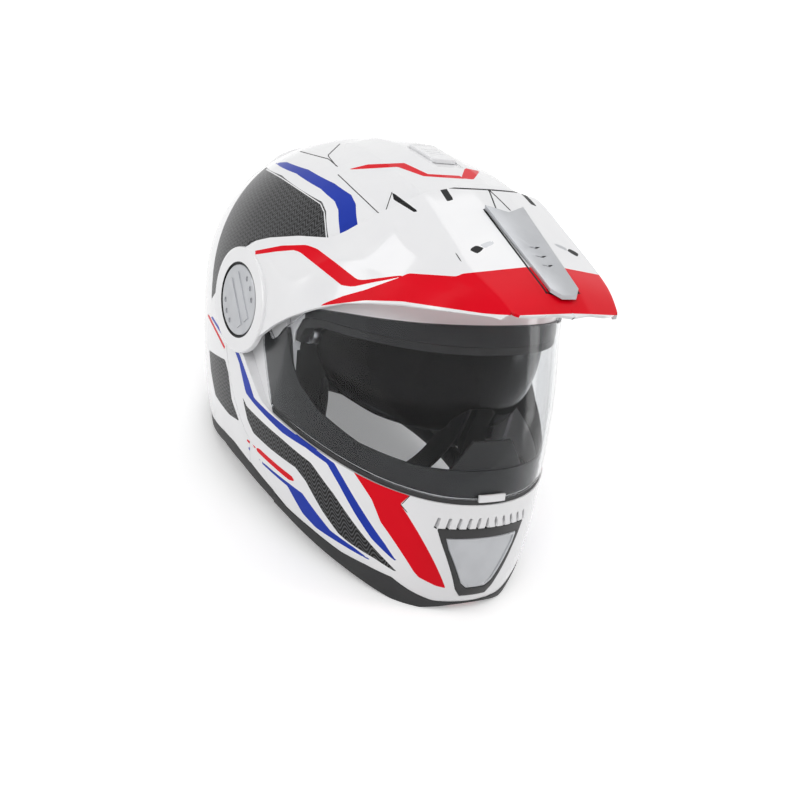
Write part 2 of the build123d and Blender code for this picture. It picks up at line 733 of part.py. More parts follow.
def browGasket():
    band = (shellForm(gasket_inset) - shellForm(brow_block)) & sidePrism(sideShape(brow_rim_shares))
    return band - brow_cut - recess_front


recess_front = sidePrism(sideShape(recess_front_shares)) - slabBetween(pocket_floor)


def shieldSeal():
    band = (shieldForm(seat_gap) & slabBetween(shield_arm_outer)) & sidePrism(sideShape(seal_shares))
    return band - shieldForm(shield_clearance - seat_gap)


def shieldTab():
    block = Pos(0, -front_reach, tab_height_share * crown_rise) * Box(tab_width, 2 * overrun, tab_height)
    return (shieldForm(-tab_proud) & block) - shieldForm(-seat_gap)


# Chin pieces
def chinVentFrame():
    ring = shellForm(-frame_proud) & shrink(vent_face, seat_gap)
    return ring.cut(shellForm(chin_wall + frame_depth), widen(plaque_shares))


def shrink(face, gap):
    """Front outline drawn in by a gap and pushed through the front."""
    return extrude(offset(face, -gap, kind=Kind.INTERSECTION), amount=front_reach + overrun, dir=(0, -1, 0))


def widen(shares):
    face = Plane.XZ * Polygon(*[(x * half_width, u * crown_rise) for x, u in shares], align=None)
    wider = offset(face, running_gap, kind=Kind.INTERSECTION)
    return extrude(wider, amount=front_reach + overrun, dir=(0, -1, 0))


def chinVentCover():
    plate = (shellForm(-plaque_proud) & plaque_zone) - shellForm(plaque_depth)
    return plate + hingeBarrel()


def hingeBarrel():
    """Round lower edge that the vent cover tips on."""
    lower = Pos(0, -hinge_forward_share * front_reach, hinge_up_share * crown_rise)
    return lower * Rot(0, 90, 0) * Cylinder(hinge_radius, hinge_length)


def chinVentMesh():
    sheet = shellForm(chin_wall + mesh_seat) & shrink(vent_face, mesh_edge)
    sheet -= shellForm(chin_wall + mesh_seat + mesh_wall)
    slots = []
    for i in range(mesh_slots):
        z = (mesh_low_share + i * mesh_pitch_share) * crown_rise
        slot = Box(mesh_slot_width, overrun, mesh_pitch_share * crown_rise / 2)
        slots.append(Pos(0, -front_reach, z) * slot)
    return sheet.cut(*slots)


def breathGuard():
    return (shellForm(chin_wall + seat_gap) & frontPrism(guard_shares)) - shellForm(chin_wall + guard_depth)


def chinPad():
    pad = shellForm(chin_wall + seat_gap) & sidePrism(sideShape(chin_pad_shares), chin_pad_start, half_width)
    return pad - shellForm(chin_pad_inner)


def chinCurtain():
    sheet = shellForm(chin_trim_inner + seat_gap) & sidePrism(sideShape(curtain_shares))
    return (sheet - shellForm(chin_trim_inner + curtain_reach)) - buttonHole()


# Covers on the boss


def pivotCover():
    face = disc(cover_radius, cover_floor, cover_face)
    face = chamfer(face.edges().sort_by(Axis.X)[-1], length=cover_edge)
    face += disc(cover_stub_radius, hub_step + running_gap, cover_floor)
    for side in (1, -1):
        bar = Box(2 * cover_bar_height, cover_bar_width, cover_bar_length)
        face += Rot(cover_turn, 0, 0) * Pos(cover_face, side * cover_bar_pitch / 2, 0) * bar
    for k in range(3):
        for side in (0, 180):
            turn = Rot(side + cover_turn + (k - 1) * cover_hole_pitch, 0, 0)
            hole = Rot(0, 90, 0) * Cylinder(cover_hole_radius, 2 * cover_hole_depth)
            face -= turn * Pos(cover_face, cover_hole_ring, 0) * hole
    return face


def pivotPin():
    pin = disc(pin_radius, pocket_floor, pin_end)
    return chamfer(pin.edges().sort_by(Axis.X)[-1], length=pin_edge)


# Liner
def headForm(inset=0.0):
    faces = []
    for d, w, f, r in head_low_shares:
        faces.append(section(-d * chin_drop, w * head_half_width - inset,
                             f * head_front - inset, r * head_rear - inset))
    for s in rise_shares:
        k = sqrt(1 - s * s)
        faces.append(section(s * (head_top - inset), k * (head_half_width - inset),
                             k * (head_front - inset), k * (head_rear - inset)))
    faces.append(Vertex(0, 0, head_top - inset))
    return loft(faces)


def epsLiner():
    core = shellForm(shell_wall + liner_skin) - headForm()
    flange = flange_zone - (shellForm(liner_flange_inset) & slabBetween(liner_recess))
    brow = brow_zone - shellForm(brow_block + liner_skin)
    core = core.cut(sidePrism(sideShape(liner_port_shares)), sidePrism(sideShape(liner_rim_shares)),
                    flange, brow, visorPocket())
    for side in both(latchPlace(latch_inner - seat_gap) * Box(overrun, latch_room, latch_reach,
                                                     align=(Align.MIN, Align.CENTER, Align.CENTER))):
        core -= side
    return core


# Inner sun visor, turned about its own axis


def visorBand(outward, inward, low, high):
    """Curved band about the sun visor's axis between two angles above level."""
    def curve(shift):
        rows = [(x * half_width + shift * (1 if x > visor_side_share else visor_push_share),
                 r * half_width + shift) for x, r in visor_shares]
        return rows + [(-x, r) for x, r in rows[-2::-1]]
    outer, inner = curve(outward), curve(-inward)
    face = make_face([Spline(*outer), Line(outer[-1], inner[-1]), Spline(*inner), Line(inner[0], outer[0])])
    band = Rot(180 - high, 0, 0) * revolve(face, Axis.X, high - low)
    return Pos(0, -visor_forward, -visor_down) * band


def visorPocket():
    pocket = visorBand(visor_pocket_gap, visor_wall + visor_pocket_gap, visor_pocket_low, visor_pocket_high)
    for side in both(visorPin(seat_gap)):
        pocket += side
    return pocket


def visorPin(slack=0.0):
    """Stud that the sun visor turns on at the left."""
    radius = visor_eye_radius - bore_clearance + slack
    round_piece = disc(radius, visor_pin_inner - slack, visor_pin_outer + slack)
    return Pos(0, -visor_forward, -visor_down) * round_piece


def sunVisor():
    lens = visorBand(0, visor_wall, visor_low, visor_high)
    return lens - sidePrism(sideShape(visor_low_shares)) - frontPrism(nose_shares)


def crownPad():
    pad = headForm(seat_gap) - headForm(pad_thickness)
    pad &= sidePrism(sideShape(crown_pad_shares))
    holes = []
    for side in (1, -1):
        for place in pad_hole_places:
            hole = Box(pad_hole_width, pad_hole_length, 2 * crown_rise)
            holes.append(Pos(side * pad_hole_side, place, 0) * hole)
    return pad.cut(*holes)


def cheekPad():
    base = sideShape(cheek_outline_shares)
    base = fillet(base.vertices(), radius=cheek_corner)
    faces = []
    for x, inset in cheek_levels:
        faces.append(Pos(x, 0, 0) * offset(base, -inset))
    pad = loft(faces) & headForm(seat_gap)
    return pad.cut(strapLoop(strap_slack), anchor(anchor_slack))


# Chin strap, its anchors and the ratchet buckle


def strapLoop(slack=0.0):
    """Hanging strap loop: the lower half of an oval ring."""
    half = strap_wall / 2 + slack
    ring = Ellipse(strap_half_span + half, strap_sag + half)
    ring -= Ellipse(strap_half_span - half, strap_sag - half)
    level = strap_top_share * crown_rise
    y = -strap_forward_share * front_reach
    loop = Pos(0, y, level) * (Rot(90, 0, 0) * extrude(ring, amount=strap_width / 2 + slack, both=True))
    return loop - Pos(0, y, level + crown_rise) * Box(2 * half_width, front_reach, 2 * crown_rise)


def strapLong():
    cut = bucklePlace() * Pos(buckle_length / 2 + seat_gap - half_width, 0, 0)
    return strapLoop() - cut * Box(2 * half_width, front_reach, 2 * half_width)


def strapShort():
    cut = bucklePlace() * Pos(half_width - buckle_length / 2 - seat_gap, 0, 0)
    return strapLoop() - cut * Box(2 * half_width, front_reach, 2 * half_width)


def anchor(slack=0.0):
    """Rivet that holds the strap's top end to the liner wall at the left."""
    z = strap_top_share * crown_rise - anchor_drop
    place = Pos(0, -strap_forward_share * front_reach, z)
    return place * disc(anchor_radius + slack, strap_half_span + strap_wall / 2 + seat_gap - slack,
                        head_half_width - anchor_seat + slack)


def bucklePlace():
    drop = strap_sag * sqrt(1 - (buckle_middle / strap_half_span) ** 2)
    z = strap_top_share * crown_rise - drop
    return Pos(buckle_middle, -strap_forward_share * front_reach, z) * Rot(0, buckle_lean, 0)


def buckleBody():
    body = Box(buckle_length, buckle_width, buckle_depth)
    body = fillet(body.edges().filter_by(Axis.Y), radius=buckle_depth / 4)
    well_width = buckle_width * lever_width_share + 2 * running_gap
    well = Box(lever_length + 2 * running_gap, well_width, 2 * lever_depth)
    return bucklePlace() * (body - Pos(0, 0, -buckle_depth / 2) * well)


def buckleLever():
    width = buckle_width * lever_width_share
    level = (lever_depth - buckle_depth) / 2
    barrel = Rot(90, 0, 0) * Cylinder(lever_depth / 2, width)
    barrel = Pos(lever_depth / 2 - lever_length / 2, 0, level) * barrel
    flap = Pos(lever_depth / 4, 0, level) * Box(lever_length - lever_depth / 2, width, lever_depth)
    return bucklePlace() * (flap + barrel)


# Latches between shell and chin bar


def latchPlace(x):
    return Pos(x, -latch_forward_share * front_reach, latch_up_share * crown_rise)


def strikePin():
    bracket = latchPlace(latch_inner) * Box(latch_plate_wall, bracket_length, bracket_height,
                                            align=(Align.MIN, Align.MIN, Align.CENTER))
    bracket = Pos(0, -latch_pin_radius * 2, 0) * bracket
    pin = disc(latch_pin_radius, latch_inner + latch_plate_wall / 2, latch_inner + latch_pin_length)
    pin = latchPlace(0) * pin
    return bracket + pin


def latchHook():
    inner = latch_inner + latch_plate_wall + running_gap
    plate = latchPlace(inner) * Box(latch_plate_wall, latch_reach, hook_height,
                                    align=(Align.MIN, Align.CENTER, Align.CENTER))
    turn = 90 - degrees(atan(latch_up_share * crown_rise / (latch_forward_share * front_reach)))
    notch = Box(3 * latch_plate_wall, latch_reach, 2 * (latch_pin_radius + running_gap),
                align=(Align.CENTER, Align.MIN, Align.CENTER))
    hole = latchPlace(0) * disc(latch_pin_radius + running_gap, inner - latch_plate_wall,
                                inner + 2 * latch_plate_wall)
    return plate.cut(latchPlace(inner) * Rot(turn, 0, 0) * notch, hole)


# Lever on the lower left rim that works the sun visor


def knobBlock(longer=0.0, higher=0.0, deeper=0.0):
    block = Box(knob_outer - knob_inner + deeper, knob_length + longer, knob_height + higher)
    y = -knob_forward_share * front_reach
    place = Pos((knob_inner + knob_outer) / 2, y, knob_up_share * crown_rise)
    return place * Rot(lean, 0, 0) * block


def visorLever():
    knob = knobBlock()
    ridges = []
    for i in (-1, 0, 1):
        shift = Rot(lean, 0, 0) * Pos(0, i * knob_length / 4, 0)
        ridges.append(Pos(knob_outer, -knob_forward_share * front_reach, knob_up_share * crown_rise)
                      * shift * Box(2 * ridge_depth, ridge_width, overrun))
    return knob.cut(*ridges)


def neckRoll():
    """Roll along the rear rim, from ear to ear."""
    points = []
    for i in range(neck_points):
        a = radians(neck_turn * (2 * i / (neck_points - 1) - 1))
        x = neck_half_width * sin(a)
        y = neck_reach * cos(a)
        z = -rim_drop + lean_slope * (y + rim_forward) + neck_lift
        points.append((x, y, z))
    path = Spline(*points)
    start = Plane(origin=path @ 0, z_dir=path % 0)
    return sweep(start * Ellipse(neck_wall / 2, neck_height / 2), path=path)


makers = {
    "outer_shell": outerShell,
    "chin_bar": chinBar,
    "face_shield": faceShield,
    "peak": peak,
    "peak_strip": peakStrip,
    "crown_housing": crownHousing,
    "top_vent_slider": topVentSlider,
    "rear_exhaust": rearExhaust,
    "shell_trim": shellTrim,
    "chin_trim": chinTrim,
    "release_button": releaseButton,
    "brow_gasket": browGasket,
    "shield_seal": shieldSeal,
    "shield_tab": shieldTab,
    "chin_vent_frame": chinVentFrame,
    "chin_vent_cover": chinVentCover,
    "chin_vent_mesh": chinVentMesh,
    "breath_guard": breathGuard,
    "chin_curtain": chinCurtain,
    "eps_liner": epsLiner,
    "sun_visor": sunVisor,
    "crown_pad": crownPad,
    "neck_roll": neckRoll,
    "strap_long": strapLong,
    "strap_short": strapShort,
    "buckle_body": buckleBody,
    "buckle_lever": buckleLever,
    "visor_lever": visorLever,
}
paired = {
    "pivot_cover": pivotCover,
    "pivot_pin": pivotPin,
    "cheek_pad": cheekPad,
    "strap_anchor": anchor,
    "strike_pin": strikePin,
    "latch_hook": latchHook,
    "chin_pad": chinPad,
    "visor_pin": visorPin,
}

os.makedirs("parts", exist_ok=True)
lean_turn = Rot(-lean, 0, 0)
pieces = {}
for name, maker in makers.items():
    pieces[name] = lean_turn * maker()
    print(name)
for name, maker in paired.items():
    left, right = both(maker())
    pieces[name + "_left"] = lean_turn * left
    pieces[name + "_right"] = lean_turn * right
    print(name)

# Stand on the lower rim with the middle of the length over the origin
front = pieces["peak"].bounding_box().min.Y
rear = pieces["rear_exhaust"].bounding_box().max.Y
floor = min(pieces["chin_trim"].bounding_box().min.Z, pieces["shell_trim"].bounding_box().min.Z)
seat = Pos(0, -(front + rear) / 2, -floor)
print("seat", front, rear, floor)
for name, shape in pieces.items():
    shape = seat * shape
    export_step(shape, f"parts/{name}.step")
    print(name, shape.is_valid, len(shape.solids()))
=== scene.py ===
import math

import bmesh
import bpy
import numpy as np
from mathutils import Matrix, Vector
from mathutils.bvhtree import BVHTree


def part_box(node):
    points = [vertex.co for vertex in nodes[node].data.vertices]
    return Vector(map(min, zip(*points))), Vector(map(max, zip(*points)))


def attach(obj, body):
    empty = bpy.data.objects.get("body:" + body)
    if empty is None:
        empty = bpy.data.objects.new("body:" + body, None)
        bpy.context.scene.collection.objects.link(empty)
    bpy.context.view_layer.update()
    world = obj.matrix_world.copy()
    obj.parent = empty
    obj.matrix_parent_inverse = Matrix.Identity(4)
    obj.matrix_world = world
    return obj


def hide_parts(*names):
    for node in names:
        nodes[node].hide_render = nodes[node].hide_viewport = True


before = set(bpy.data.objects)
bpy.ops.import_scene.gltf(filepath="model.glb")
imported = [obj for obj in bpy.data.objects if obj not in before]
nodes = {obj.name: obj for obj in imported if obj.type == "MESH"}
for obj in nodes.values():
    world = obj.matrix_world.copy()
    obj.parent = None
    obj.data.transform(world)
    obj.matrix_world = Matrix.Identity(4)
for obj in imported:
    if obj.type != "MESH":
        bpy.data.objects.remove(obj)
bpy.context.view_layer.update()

# Drawing coordinates are in millimetres with the helmet upright: x to the wearer's left,
# f forward and z up from the pivot axis. The seat leans it onto its lower rim, in metres.
seat = dict(leanSlope=0.2215)
pinLow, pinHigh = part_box("pivot_pin_left")
pivotPoint = (pinLow + pinHigh) / 2
leanAngle = math.atan(seat["leanSlope"])


def toRow(points):
    # upright x, f, z in millimetres to the row frame in metres
    p = np.asarray(points, float).reshape(-1, 3)
    c, s = math.cos(leanAngle), math.sin(leanAngle)
    y = -p[:, 1] * c + p[:, 2] * s
    z = p[:, 1] * s + p[:, 2] * c
    return np.column_stack([p[:, 0] / 1000, y / 1000 + pivotPoint.y, z / 1000 + pivotPoint.z])


def toUpright(points):
    # row frame in metres back to upright x, f, z in millimetres
    p = np.asarray(points, float).reshape(-1, 3)
    y, z = p[:, 1] - pivotPoint.y, p[:, 2] - pivotPoint.z
    c, s = math.cos(leanAngle), math.sin(leanAngle)
    return np.column_stack([p[:, 0], -(y * c - z * s), y * s + z * c]) * 1000


def linked(name, data):
    piece = bpy.data.objects.new(name, data)
    bpy.context.scene.collection.objects.link(piece)
    return piece


def bevelled(piece, width, angle):
    soften = piece.modifiers.new("edges", "BEVEL")
    soften.width = width / 1000
    soften.segments = 2
    soften.limit_method = "ANGLE"
    soften.angle_limit = math.radians(angle)


def spline(knots, values, at):
    # natural cubic curve through rows of values
    knots, values, at = (np.asarray(a, float) for a in (knots, values, at))
    n = len(knots)
    h = np.diff(knots)
    matrix = np.eye(n)
    right = np.zeros((n, values.shape[1]))
    for i in range(1, n - 1):
        matrix[i, i - 1], matrix[i, i], matrix[i, i + 1] = h[i - 1], 2 * (h[i - 1] + h[i]), h[i]
        right[i] = 6 * ((values[i + 1] - values[i]) / h[i] - (values[i] - values[i - 1]) / h[i - 1])
    m = np.linalg.solve(matrix, right)
    k = np.clip(np.searchsorted(knots, at) - 1, 0, n - 2)
    a = ((knots[k + 1] - at) / h[k])[:, None]
    b = ((at - knots[k]) / h[k])[:, None]
    w = (h[k] ** 2)[:, None] / 6
    return a * values[k] + b * values[k + 1] + ((a ** 3 - a) * m[k] + (b ** 3 - b) * m[k + 1]) * w


# Helmet form
helmet = dict(halfWidth=115.0, front=163.0, rear=172.0, crown=120.0, chin=180.0,
              frontPower=2.25, rearPower=2.15, grid=2.7)
lowerRows = [(0.17, 0.996, 1.022, 0.99), (0.34, 0.978, 1.037, 0.945), (0.5, 0.948, 1.049, 0.878),
             (0.67, 0.904, 1.061, 0.802), (0.84, 0.843, 1.058, 0.744), (1.03, 0.74, 1.0, 0.69)]


def ringPoints(z, w, f, r, count):
    # egg-shaped level ring
    turn = 2 * np.pi * np.arange(count) / count
    c, s = np.cos(turn), np.sin(turn)
    reach = np.where(s > 0, f, r)
    power = np.where(s > 0, helmet["frontPower"], helmet["rearPower"])
    x = w * np.sign(c) * np.abs(c) ** (2 / power)
    y = reach * np.sign(s) * np.abs(s) ** (2 / power)
    return np.column_stack([x, y, np.full(count, z)])


def formRows(inset=0.0, step=2.7):
    # heights and reaches of the form from the lower rim to the crown
    rows = []
    for d, a, b, g in reversed(lowerRows):
        rows.append((-d * helmet["chin"], a * helmet["halfWidth"] - inset,
                     b * helmet["front"] - inset, g * helmet["rear"] - inset))
    w, f, r, c = (helmet[k] - inset for k in ("halfWidth", "front", "rear", "crown"))
    low = np.array(rows + [(0, w, f, r)])
    keys = np.concatenate([[0], np.cumsum(np.hypot(np.diff(low[:, 0]), np.diff(low[:, 1])))])
    extra = [(s * c, math.sqrt(1 - s * s) * w, math.sqrt(1 - s * s) * f, math.sqrt(1 - s * s) * r)
             for s in (0.15, 0.3)]
    more = keys[-1] + np.array([0.15, 0.3]) * c
    at = np.arange(0, keys[-1], step)
    bottom = spline(np.append(keys, more), np.vstack([low, extra]), at)
    angles = np.linspace(0, np.pi / 2, int(np.pi / 2 * c / step) + 2)[:-1]
    top = np.column_stack([np.sin(angles) * c, np.cos(angles) * w, np.cos(angles) * f, np.cos(angles) * r])
    return np.vstack([bottom, top]), c


def ringMesh(rows, cap=None, step=2.7):
    # closed rings joined into triangles, with a pole when there is a cap height
    count = int(2 * np.pi * rows[:, 1:].max() * 0.86 / step)
    points = [ringPoints(*row, count) for row in rows]
    base = np.arange(count)
    after = (base + 1) % count
    tris = []
    for i in range(len(rows) - 1):
        a, b = i * count, (i + 1) * count
        tris.append(np.column_stack([a + base, a + after, b + after]))
        tris.append(np.column_stack([a + base, b + after, b + base]))
    if cap is not None:
        points.append(np.array([[0, 0, cap]]))
        top = (len(rows) - 1) * count
        tris.append(np.column_stack([top + base, top + after, np.full(count, len(rows) * count)]))
    t = np.vstack(tris)[:, ::-1].copy()
    return np.vstack(points), t, np.zeros(len(t), int)


def gridTriangles(rows, columns):
    i = (np.arange(rows - 1)[:, None] * columns + np.arange(columns - 1)).ravel()
    t = np.vstack([np.column_stack([i, i + 1, i + columns + 1]),
                   np.column_stack([i, i + columns + 1, i + columns])])
    return t, np.zeros(len(t), int)


def formMesh(inset=0.0, step=2.7):
    rows, cap = formRows(inset, step)
    return ringMesh(rows, cap, step)


def polygonField(points, outline):
    # signed distance from flat points to an outline, negative inside
    poly = np.asarray(outline, float)
    best = np.full(len(points), 1e9)
    inside = np.zeros(len(points), bool)
    for a, b in zip(poly, np.roll(poly, -1, axis=0)):
        edge = b - a
        if not edge.any():
            continue
        k = np.clip(((points - a) @ edge) / (edge @ edge), 0, 1)
        best = np.minimum(best, np.hypot(*(points - a - k[:, None] * edge).T))
        if a[1] != b[1]:
            cross = (a[1] > points[:, 1]) != (b[1] > points[:, 1])
            inside ^= cross & (points[:, 0] < a[0] + (points[:, 1] - a[1]) * edge[0] / edge[1])
    return np.where(inside, -best, best)


def splitMesh(v, t, marks, field):
    # cuts every triangle along the field's zero line; marks stay with their triangles
    s = np.where(np.abs(field) < 1e-6, 1e-6, field)
    side = s[t] > 0
    total = side.sum(1)
    mixed = (total == 1) | (total == 2)
    keepT, keepM = t[~mixed], marks[~mixed]
    cut, cutM = t[mixed], marks[mixed]
    lone = np.where(total[mixed] == 1, 1, 0)
    which = np.argmax(side[mixed] == lone[:, None], axis=1)
    rolled = np.take_along_axis(cut, (which[:, None] + np.arange(3)) % 3, axis=1)
    a, b, c = rolled.T
    pairs = np.sort(np.vstack([np.column_stack([a, b]), np.column_stack([a, c])]), axis=1)
    keys, back = np.unique(pairs, axis=0, return_inverse=True)
    back = back.ravel()
    k = (s[keys[:, 0]] / (s[keys[:, 0]] - s[keys[:, 1]]))[:, None]
    fresh = v[keys[:, 0]] * (1 - k) + v[keys[:, 1]] * k
    p, q = len(v) + back[:len(a)], len(v) + back[len(a):]
    parts = [np.column_stack([a, p, q]), np.column_stack([p, b, c]), np.column_stack([p, c, q])]
    t = np.vstack([keepT] + parts)
    marks = np.concatenate([keepM, cutM, cutM, cutM])
    v = np.vstack([v, fresh])
    s = np.concatenate([s, np.zeros(len(fresh))])
    return v, t, marks, s[t].sum(1) < 0


def flat(v, plane):
    # side, plan or front coordinates of points
    pick = dict(side=(1, 2), plan=(0, 1), front=(0, 2))[plane]
    return v[:, pick]


def clip(mesh, field, keepInside=True):
    v, t, marks = mesh
    v, t, marks, inside = splitMesh(v, t, marks, field)
    hold = inside if keepInside else ~inside
    return tidyMesh(v, t[hold], marks[hold])


def clipSide(mesh, outline, keepInside=True):
    return clip(mesh, polygonField(flat(mesh[0], "side"), outline), keepInside)


def clipFront(mesh, outline, keepInside=True, inset=0.0):
    # cuts the front half by an outline seen from the front
    field = polygonField(flat(mesh[0], "front"), outline) + inset
    return clip(mesh, np.maximum(field, -mesh[0][:, 1]), keepInside)


def tidyMesh(v, t, marks):
    # drops unused points and slivers
    good = (t[:, 0] != t[:, 1]) & (t[:, 1] != t[:, 2]) & (t[:, 0] != t[:, 2])
    t, marks = t[good], marks[good]
    used, back = np.unique(t, return_inverse=True)
    return v[used], back.reshape(-1, 3), marks


def paint(mesh, outline, mark, plane="side", where=None):
    # gives the triangles inside an outline a mark
    v, t, marks = mesh
    field = polygonField(flat(v, plane), outline)
    if where is not None:
        field = np.maximum(field, where(v))
    v, t, marks, inside = splitMesh(v, t, marks, field)
    marks = marks.copy()
    marks[inside] = mark
    return v, t, marks


def makePiece(name, mesh, materials, body, solid=0.0, bevel=0.0, smooth=35.0,
              closed=False):
    # a mesh object in the row frame from upright points
    v, t, marks = mesh
    data = bpy.data.meshes.new(name)
    data.from_pydata(toRow(v).tolist(), [], t.tolist())
    for m in materials:
        data.materials.append(m)
    data.polygons.foreach_set("material_index", np.asarray(marks, np.int32))
    data.update()
    piece = linked(name, data)
    edit = bmesh.new()
    edit.from_mesh(data)
    bmesh.ops.remove_doubles(edit, verts=edit.verts, dist=2e-6)
    inward = sum((f.calc_center_median() - Vector((0, 0, 0.13))).dot(f.normal) < 0 for f in edit.faces)
    if closed:
        bmesh.ops.recalc_face_normals(edit, faces=edit.faces)
    elif inward > len(edit.faces) / 2:
        bmesh.ops.reverse_faces(edit, faces=edit.faces)
    edit.to_mesh(data)
    edit.free()
    data.update()
    if solid:
        thick = piece.modifiers.new("thickness", "SOLIDIFY")
        thick.thickness = solid / 1000
        thick.offset = -1
        thick.use_even_offset = False
    if bevel:
        bevelled(piece, bevel, 50)
    shadeSmooth(piece, smooth)
    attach(piece, body)
    return piece


def shadeSmooth(piece, angle=35.0):
    # smooth shading that keeps edges sharper than the angle
    for polygon in piece.data.polygons:
        polygon.use_smooth = True
    piece.data.set_sharp_from_angle(angle=math.radians(angle))


print("form and camera")
baseMesh = formMesh(0.0, helmet["grid"])
formTree = BVHTree.FromPolygons(toRow(baseMesh[0]).tolist(), baseMesh[1].tolist())

# Camera of the photograph, in the upright frame
view = dict(yaw=0.619179476, pitch=0.290660611, roll=0.157174364, distance=1003.9192,
            focal=1315.34218, shiftX=-16.1137255, shiftY=75.8417882, size=800)
toward = np.array([-math.sin(view["yaw"]) * math.cos(view["pitch"]),
                   -math.cos(view["yaw"]) * math.cos(view["pitch"]), math.sin(view["pitch"])])
across = np.array([math.cos(view["yaw"]), -math.sin(view["yaw"]), 0.0])
raised = np.cross(toward, across)
right = math.cos(view["roll"]) * across + math.sin(view["roll"]) * raised
upward = -math.sin(view["roll"]) * across + math.cos(view["roll"]) * raised
eye = -view["shiftX"] * right - view["shiftY"] * upward + view["distance"] * toward


def turned(vector):
    # upright direction with y backward to the row frame
    x, y, z = vector
    c, s = math.cos(leanAngle), math.sin(leanAngle)
    return Vector((x, y * c + z * s, -y * s + z * c))


eyeRow = Vector(toRow([(eye[0], -eye[1], eye[2])])[0])
rightRow, upRow, towardRow = turned(right), turned(upward), turned(toward)
cameraData = bpy.data.cameras.new("camera")
cameraData.sensor_width = 36.0
cameraData.lens = view["focal"] / view["size"] * 36.0
cameraData.clip_start = 0.05
cameraData.clip_end = 50.0
camera = linked("camera", cameraData)
turn = Matrix((rightRow, upRow, towardRow)).transposed().to_4x4()
camera.matrix_world = Matrix.Translation(eyeRow) @ turn
bpy.context.scene.camera = camera


def unproject(pixels, plane="side", tree=None):
    # photograph positions to flat coordinates on a surface, the form if none is given
    found = []
    for u, w in pixels:
        ray = rightRow * ((u - 400) / view["focal"]) + upRow * ((400 - w) / view["focal"]) - towardRow
        hit = (tree or formTree).ray_cast(eyeRow, ray.normalized())[0]
        if hit is None:
            print("missed the surface", u, w)
            continue
        found.append(toUpright(hit)[0])
    return flat(np.array(found), plane)


# Materials
def give(tree, node, values):
    # sets a node's inputs to values, or links them to sockets
    for key, value in values.items():
        if isinstance(value, bpy.types.NodeSocket):
            tree.links.new(value, node.inputs[key])
        else:
            node.inputs[key].default_value = value


def addNode(tree, kind, values=None, **settings):
    node = tree.nodes.new(kind)
    for key, value in settings.items():
        setattr(node, key, value)
    give(tree, node, values or {})
    return node


def mathNode(tree, operation, *values):
    node = addNode(tree, "ShaderNodeMath", dict(enumerate(values)), operation=operation)
    return node.outputs["Value"]


def nodeMaterial(name):
    m = bpy.data.materials.new(name)
    m.use_nodes = True
    tree = m.node_tree
    return m, tree, tree.nodes["Principled BSDF"]


def bumped(tree, shader, height, strength, distance):
    bump = addNode(tree, "ShaderNodeBump", {"Strength": strength, "Distance": distance, "Height": height})
    give(tree, shader, {"Normal": bump.outputs["Normal"]})


def grain(tree, shader, scale, strength, distance=0.0002, detail=3.0):
    # fine bump on object coordinates
    place = addNode(tree, "ShaderNodeTexCoord")
    noise = addNode(tree, "ShaderNodeTexNoise",
                    {"Scale": scale, "Detail": detail, "Vector": place.outputs["Object"]})
    bumped(tree, shader, noise.outputs["Fac"], strength, distance)
    return place


def varied(tree, shader, place, color, other, scale):
    # slow colour change between two close tones
    noise = addNode(tree, "ShaderNodeTexNoise", {"Scale": scale, "Vector": place.outputs["Object"]})
    ramp = addNode(tree, "ShaderNodeValToRGB", {"Fac": noise.outputs["Fac"]})
    for stop, position, tone in zip(ramp.color_ramp.elements, (0.35, 0.65), (color, other)):
        stop.position = position
        stop.color = (*tone, 1)
    give(tree, shader, {"Base Color": ramp.outputs["Color"]})


def lacquer(name, color, other, rough, coat=0.6, shine=0.5):
    m, tree, shader = nodeMaterial(name)
    varied(tree, shader, grain(tree, shader, 900, 0.04), color, other, 30)
    give(tree, shader, {"Roughness": rough, "Specular IOR Level": shine, "Coat Weight": coat,
                        "Coat Roughness": 0.05})
    return m


def plastic(name, color, other, rough=0.45, scale=2500, strength=0.25, metallic=0.0):
    m, tree, shader = nodeMaterial(name)
    varied(tree, shader, grain(tree, shader, scale, strength), color, other, 60)
    give(tree, shader, {"Roughness": rough, "Metallic": metallic})
    return m


white = lacquer("white_lacquer", (0.86, 0.86, 0.87), (0.84, 0.84, 0.855), 0.2)
red = lacquer("red_lacquer", (0.78, 0.0, 0.012), (0.74, 0.0, 0.01), 0.3, 0.0, 0.12)
blue = lacquer("blue_lacquer", (0.010, 0.035, 0.36), (0.014, 0.045, 0.42), 0.3, 0.0, 0.15)
dark = lacquer("dark_lacquer", (0.004, 0.004, 0.005), (0.006, 0.006, 0.007), 0.35, 0.0, 0.15)
portGrey = lacquer("port_grey", (0.035, 0.036, 0.038), (0.03, 0.03, 0.032), 0.4, 0.0, 0.2)
silver = plastic("silver_satin", (0.50, 0.51, 0.53), (0.46, 0.47, 0.49), 0.32, 3000, 0.15, 0.55)
steel = plastic("brushed_steel", (0.55, 0.55, 0.57), (0.5, 0.5, 0.52), 0.3, 1800, 0.15, 1.0)
black = plastic("black_grained", (0.012, 0.012, 0.013), (0.018, 0.018, 0.019), 0.42)
rubber = plastic("black_rubber", (0.016, 0.016, 0.017), (0.022, 0.022, 0.023), 0.6, 1800, 0.35)
foam = plastic("black_foam", (0.012, 0.012, 0.013), (0.018, 0.018, 0.019), 0.85, 420, 0.6)
scarlet = plastic("red_plastic", (0.6, 0.01, 0.02), (0.55, 0.01, 0.02), 0.35)


treadPrint = dict(link=8.4, row=3.1, wave=2.5, turn=22.0, line=0.62, soft=0.2, fadeFrom=0.05,
                  fadeTo=0.15, fadeMost=0.75, ground=(0.075, 0.076, 0.08, 1), ink=(0.004, 0.004, 0.004, 1),
                  pale=(0.22, 0.22, 0.225, 1))


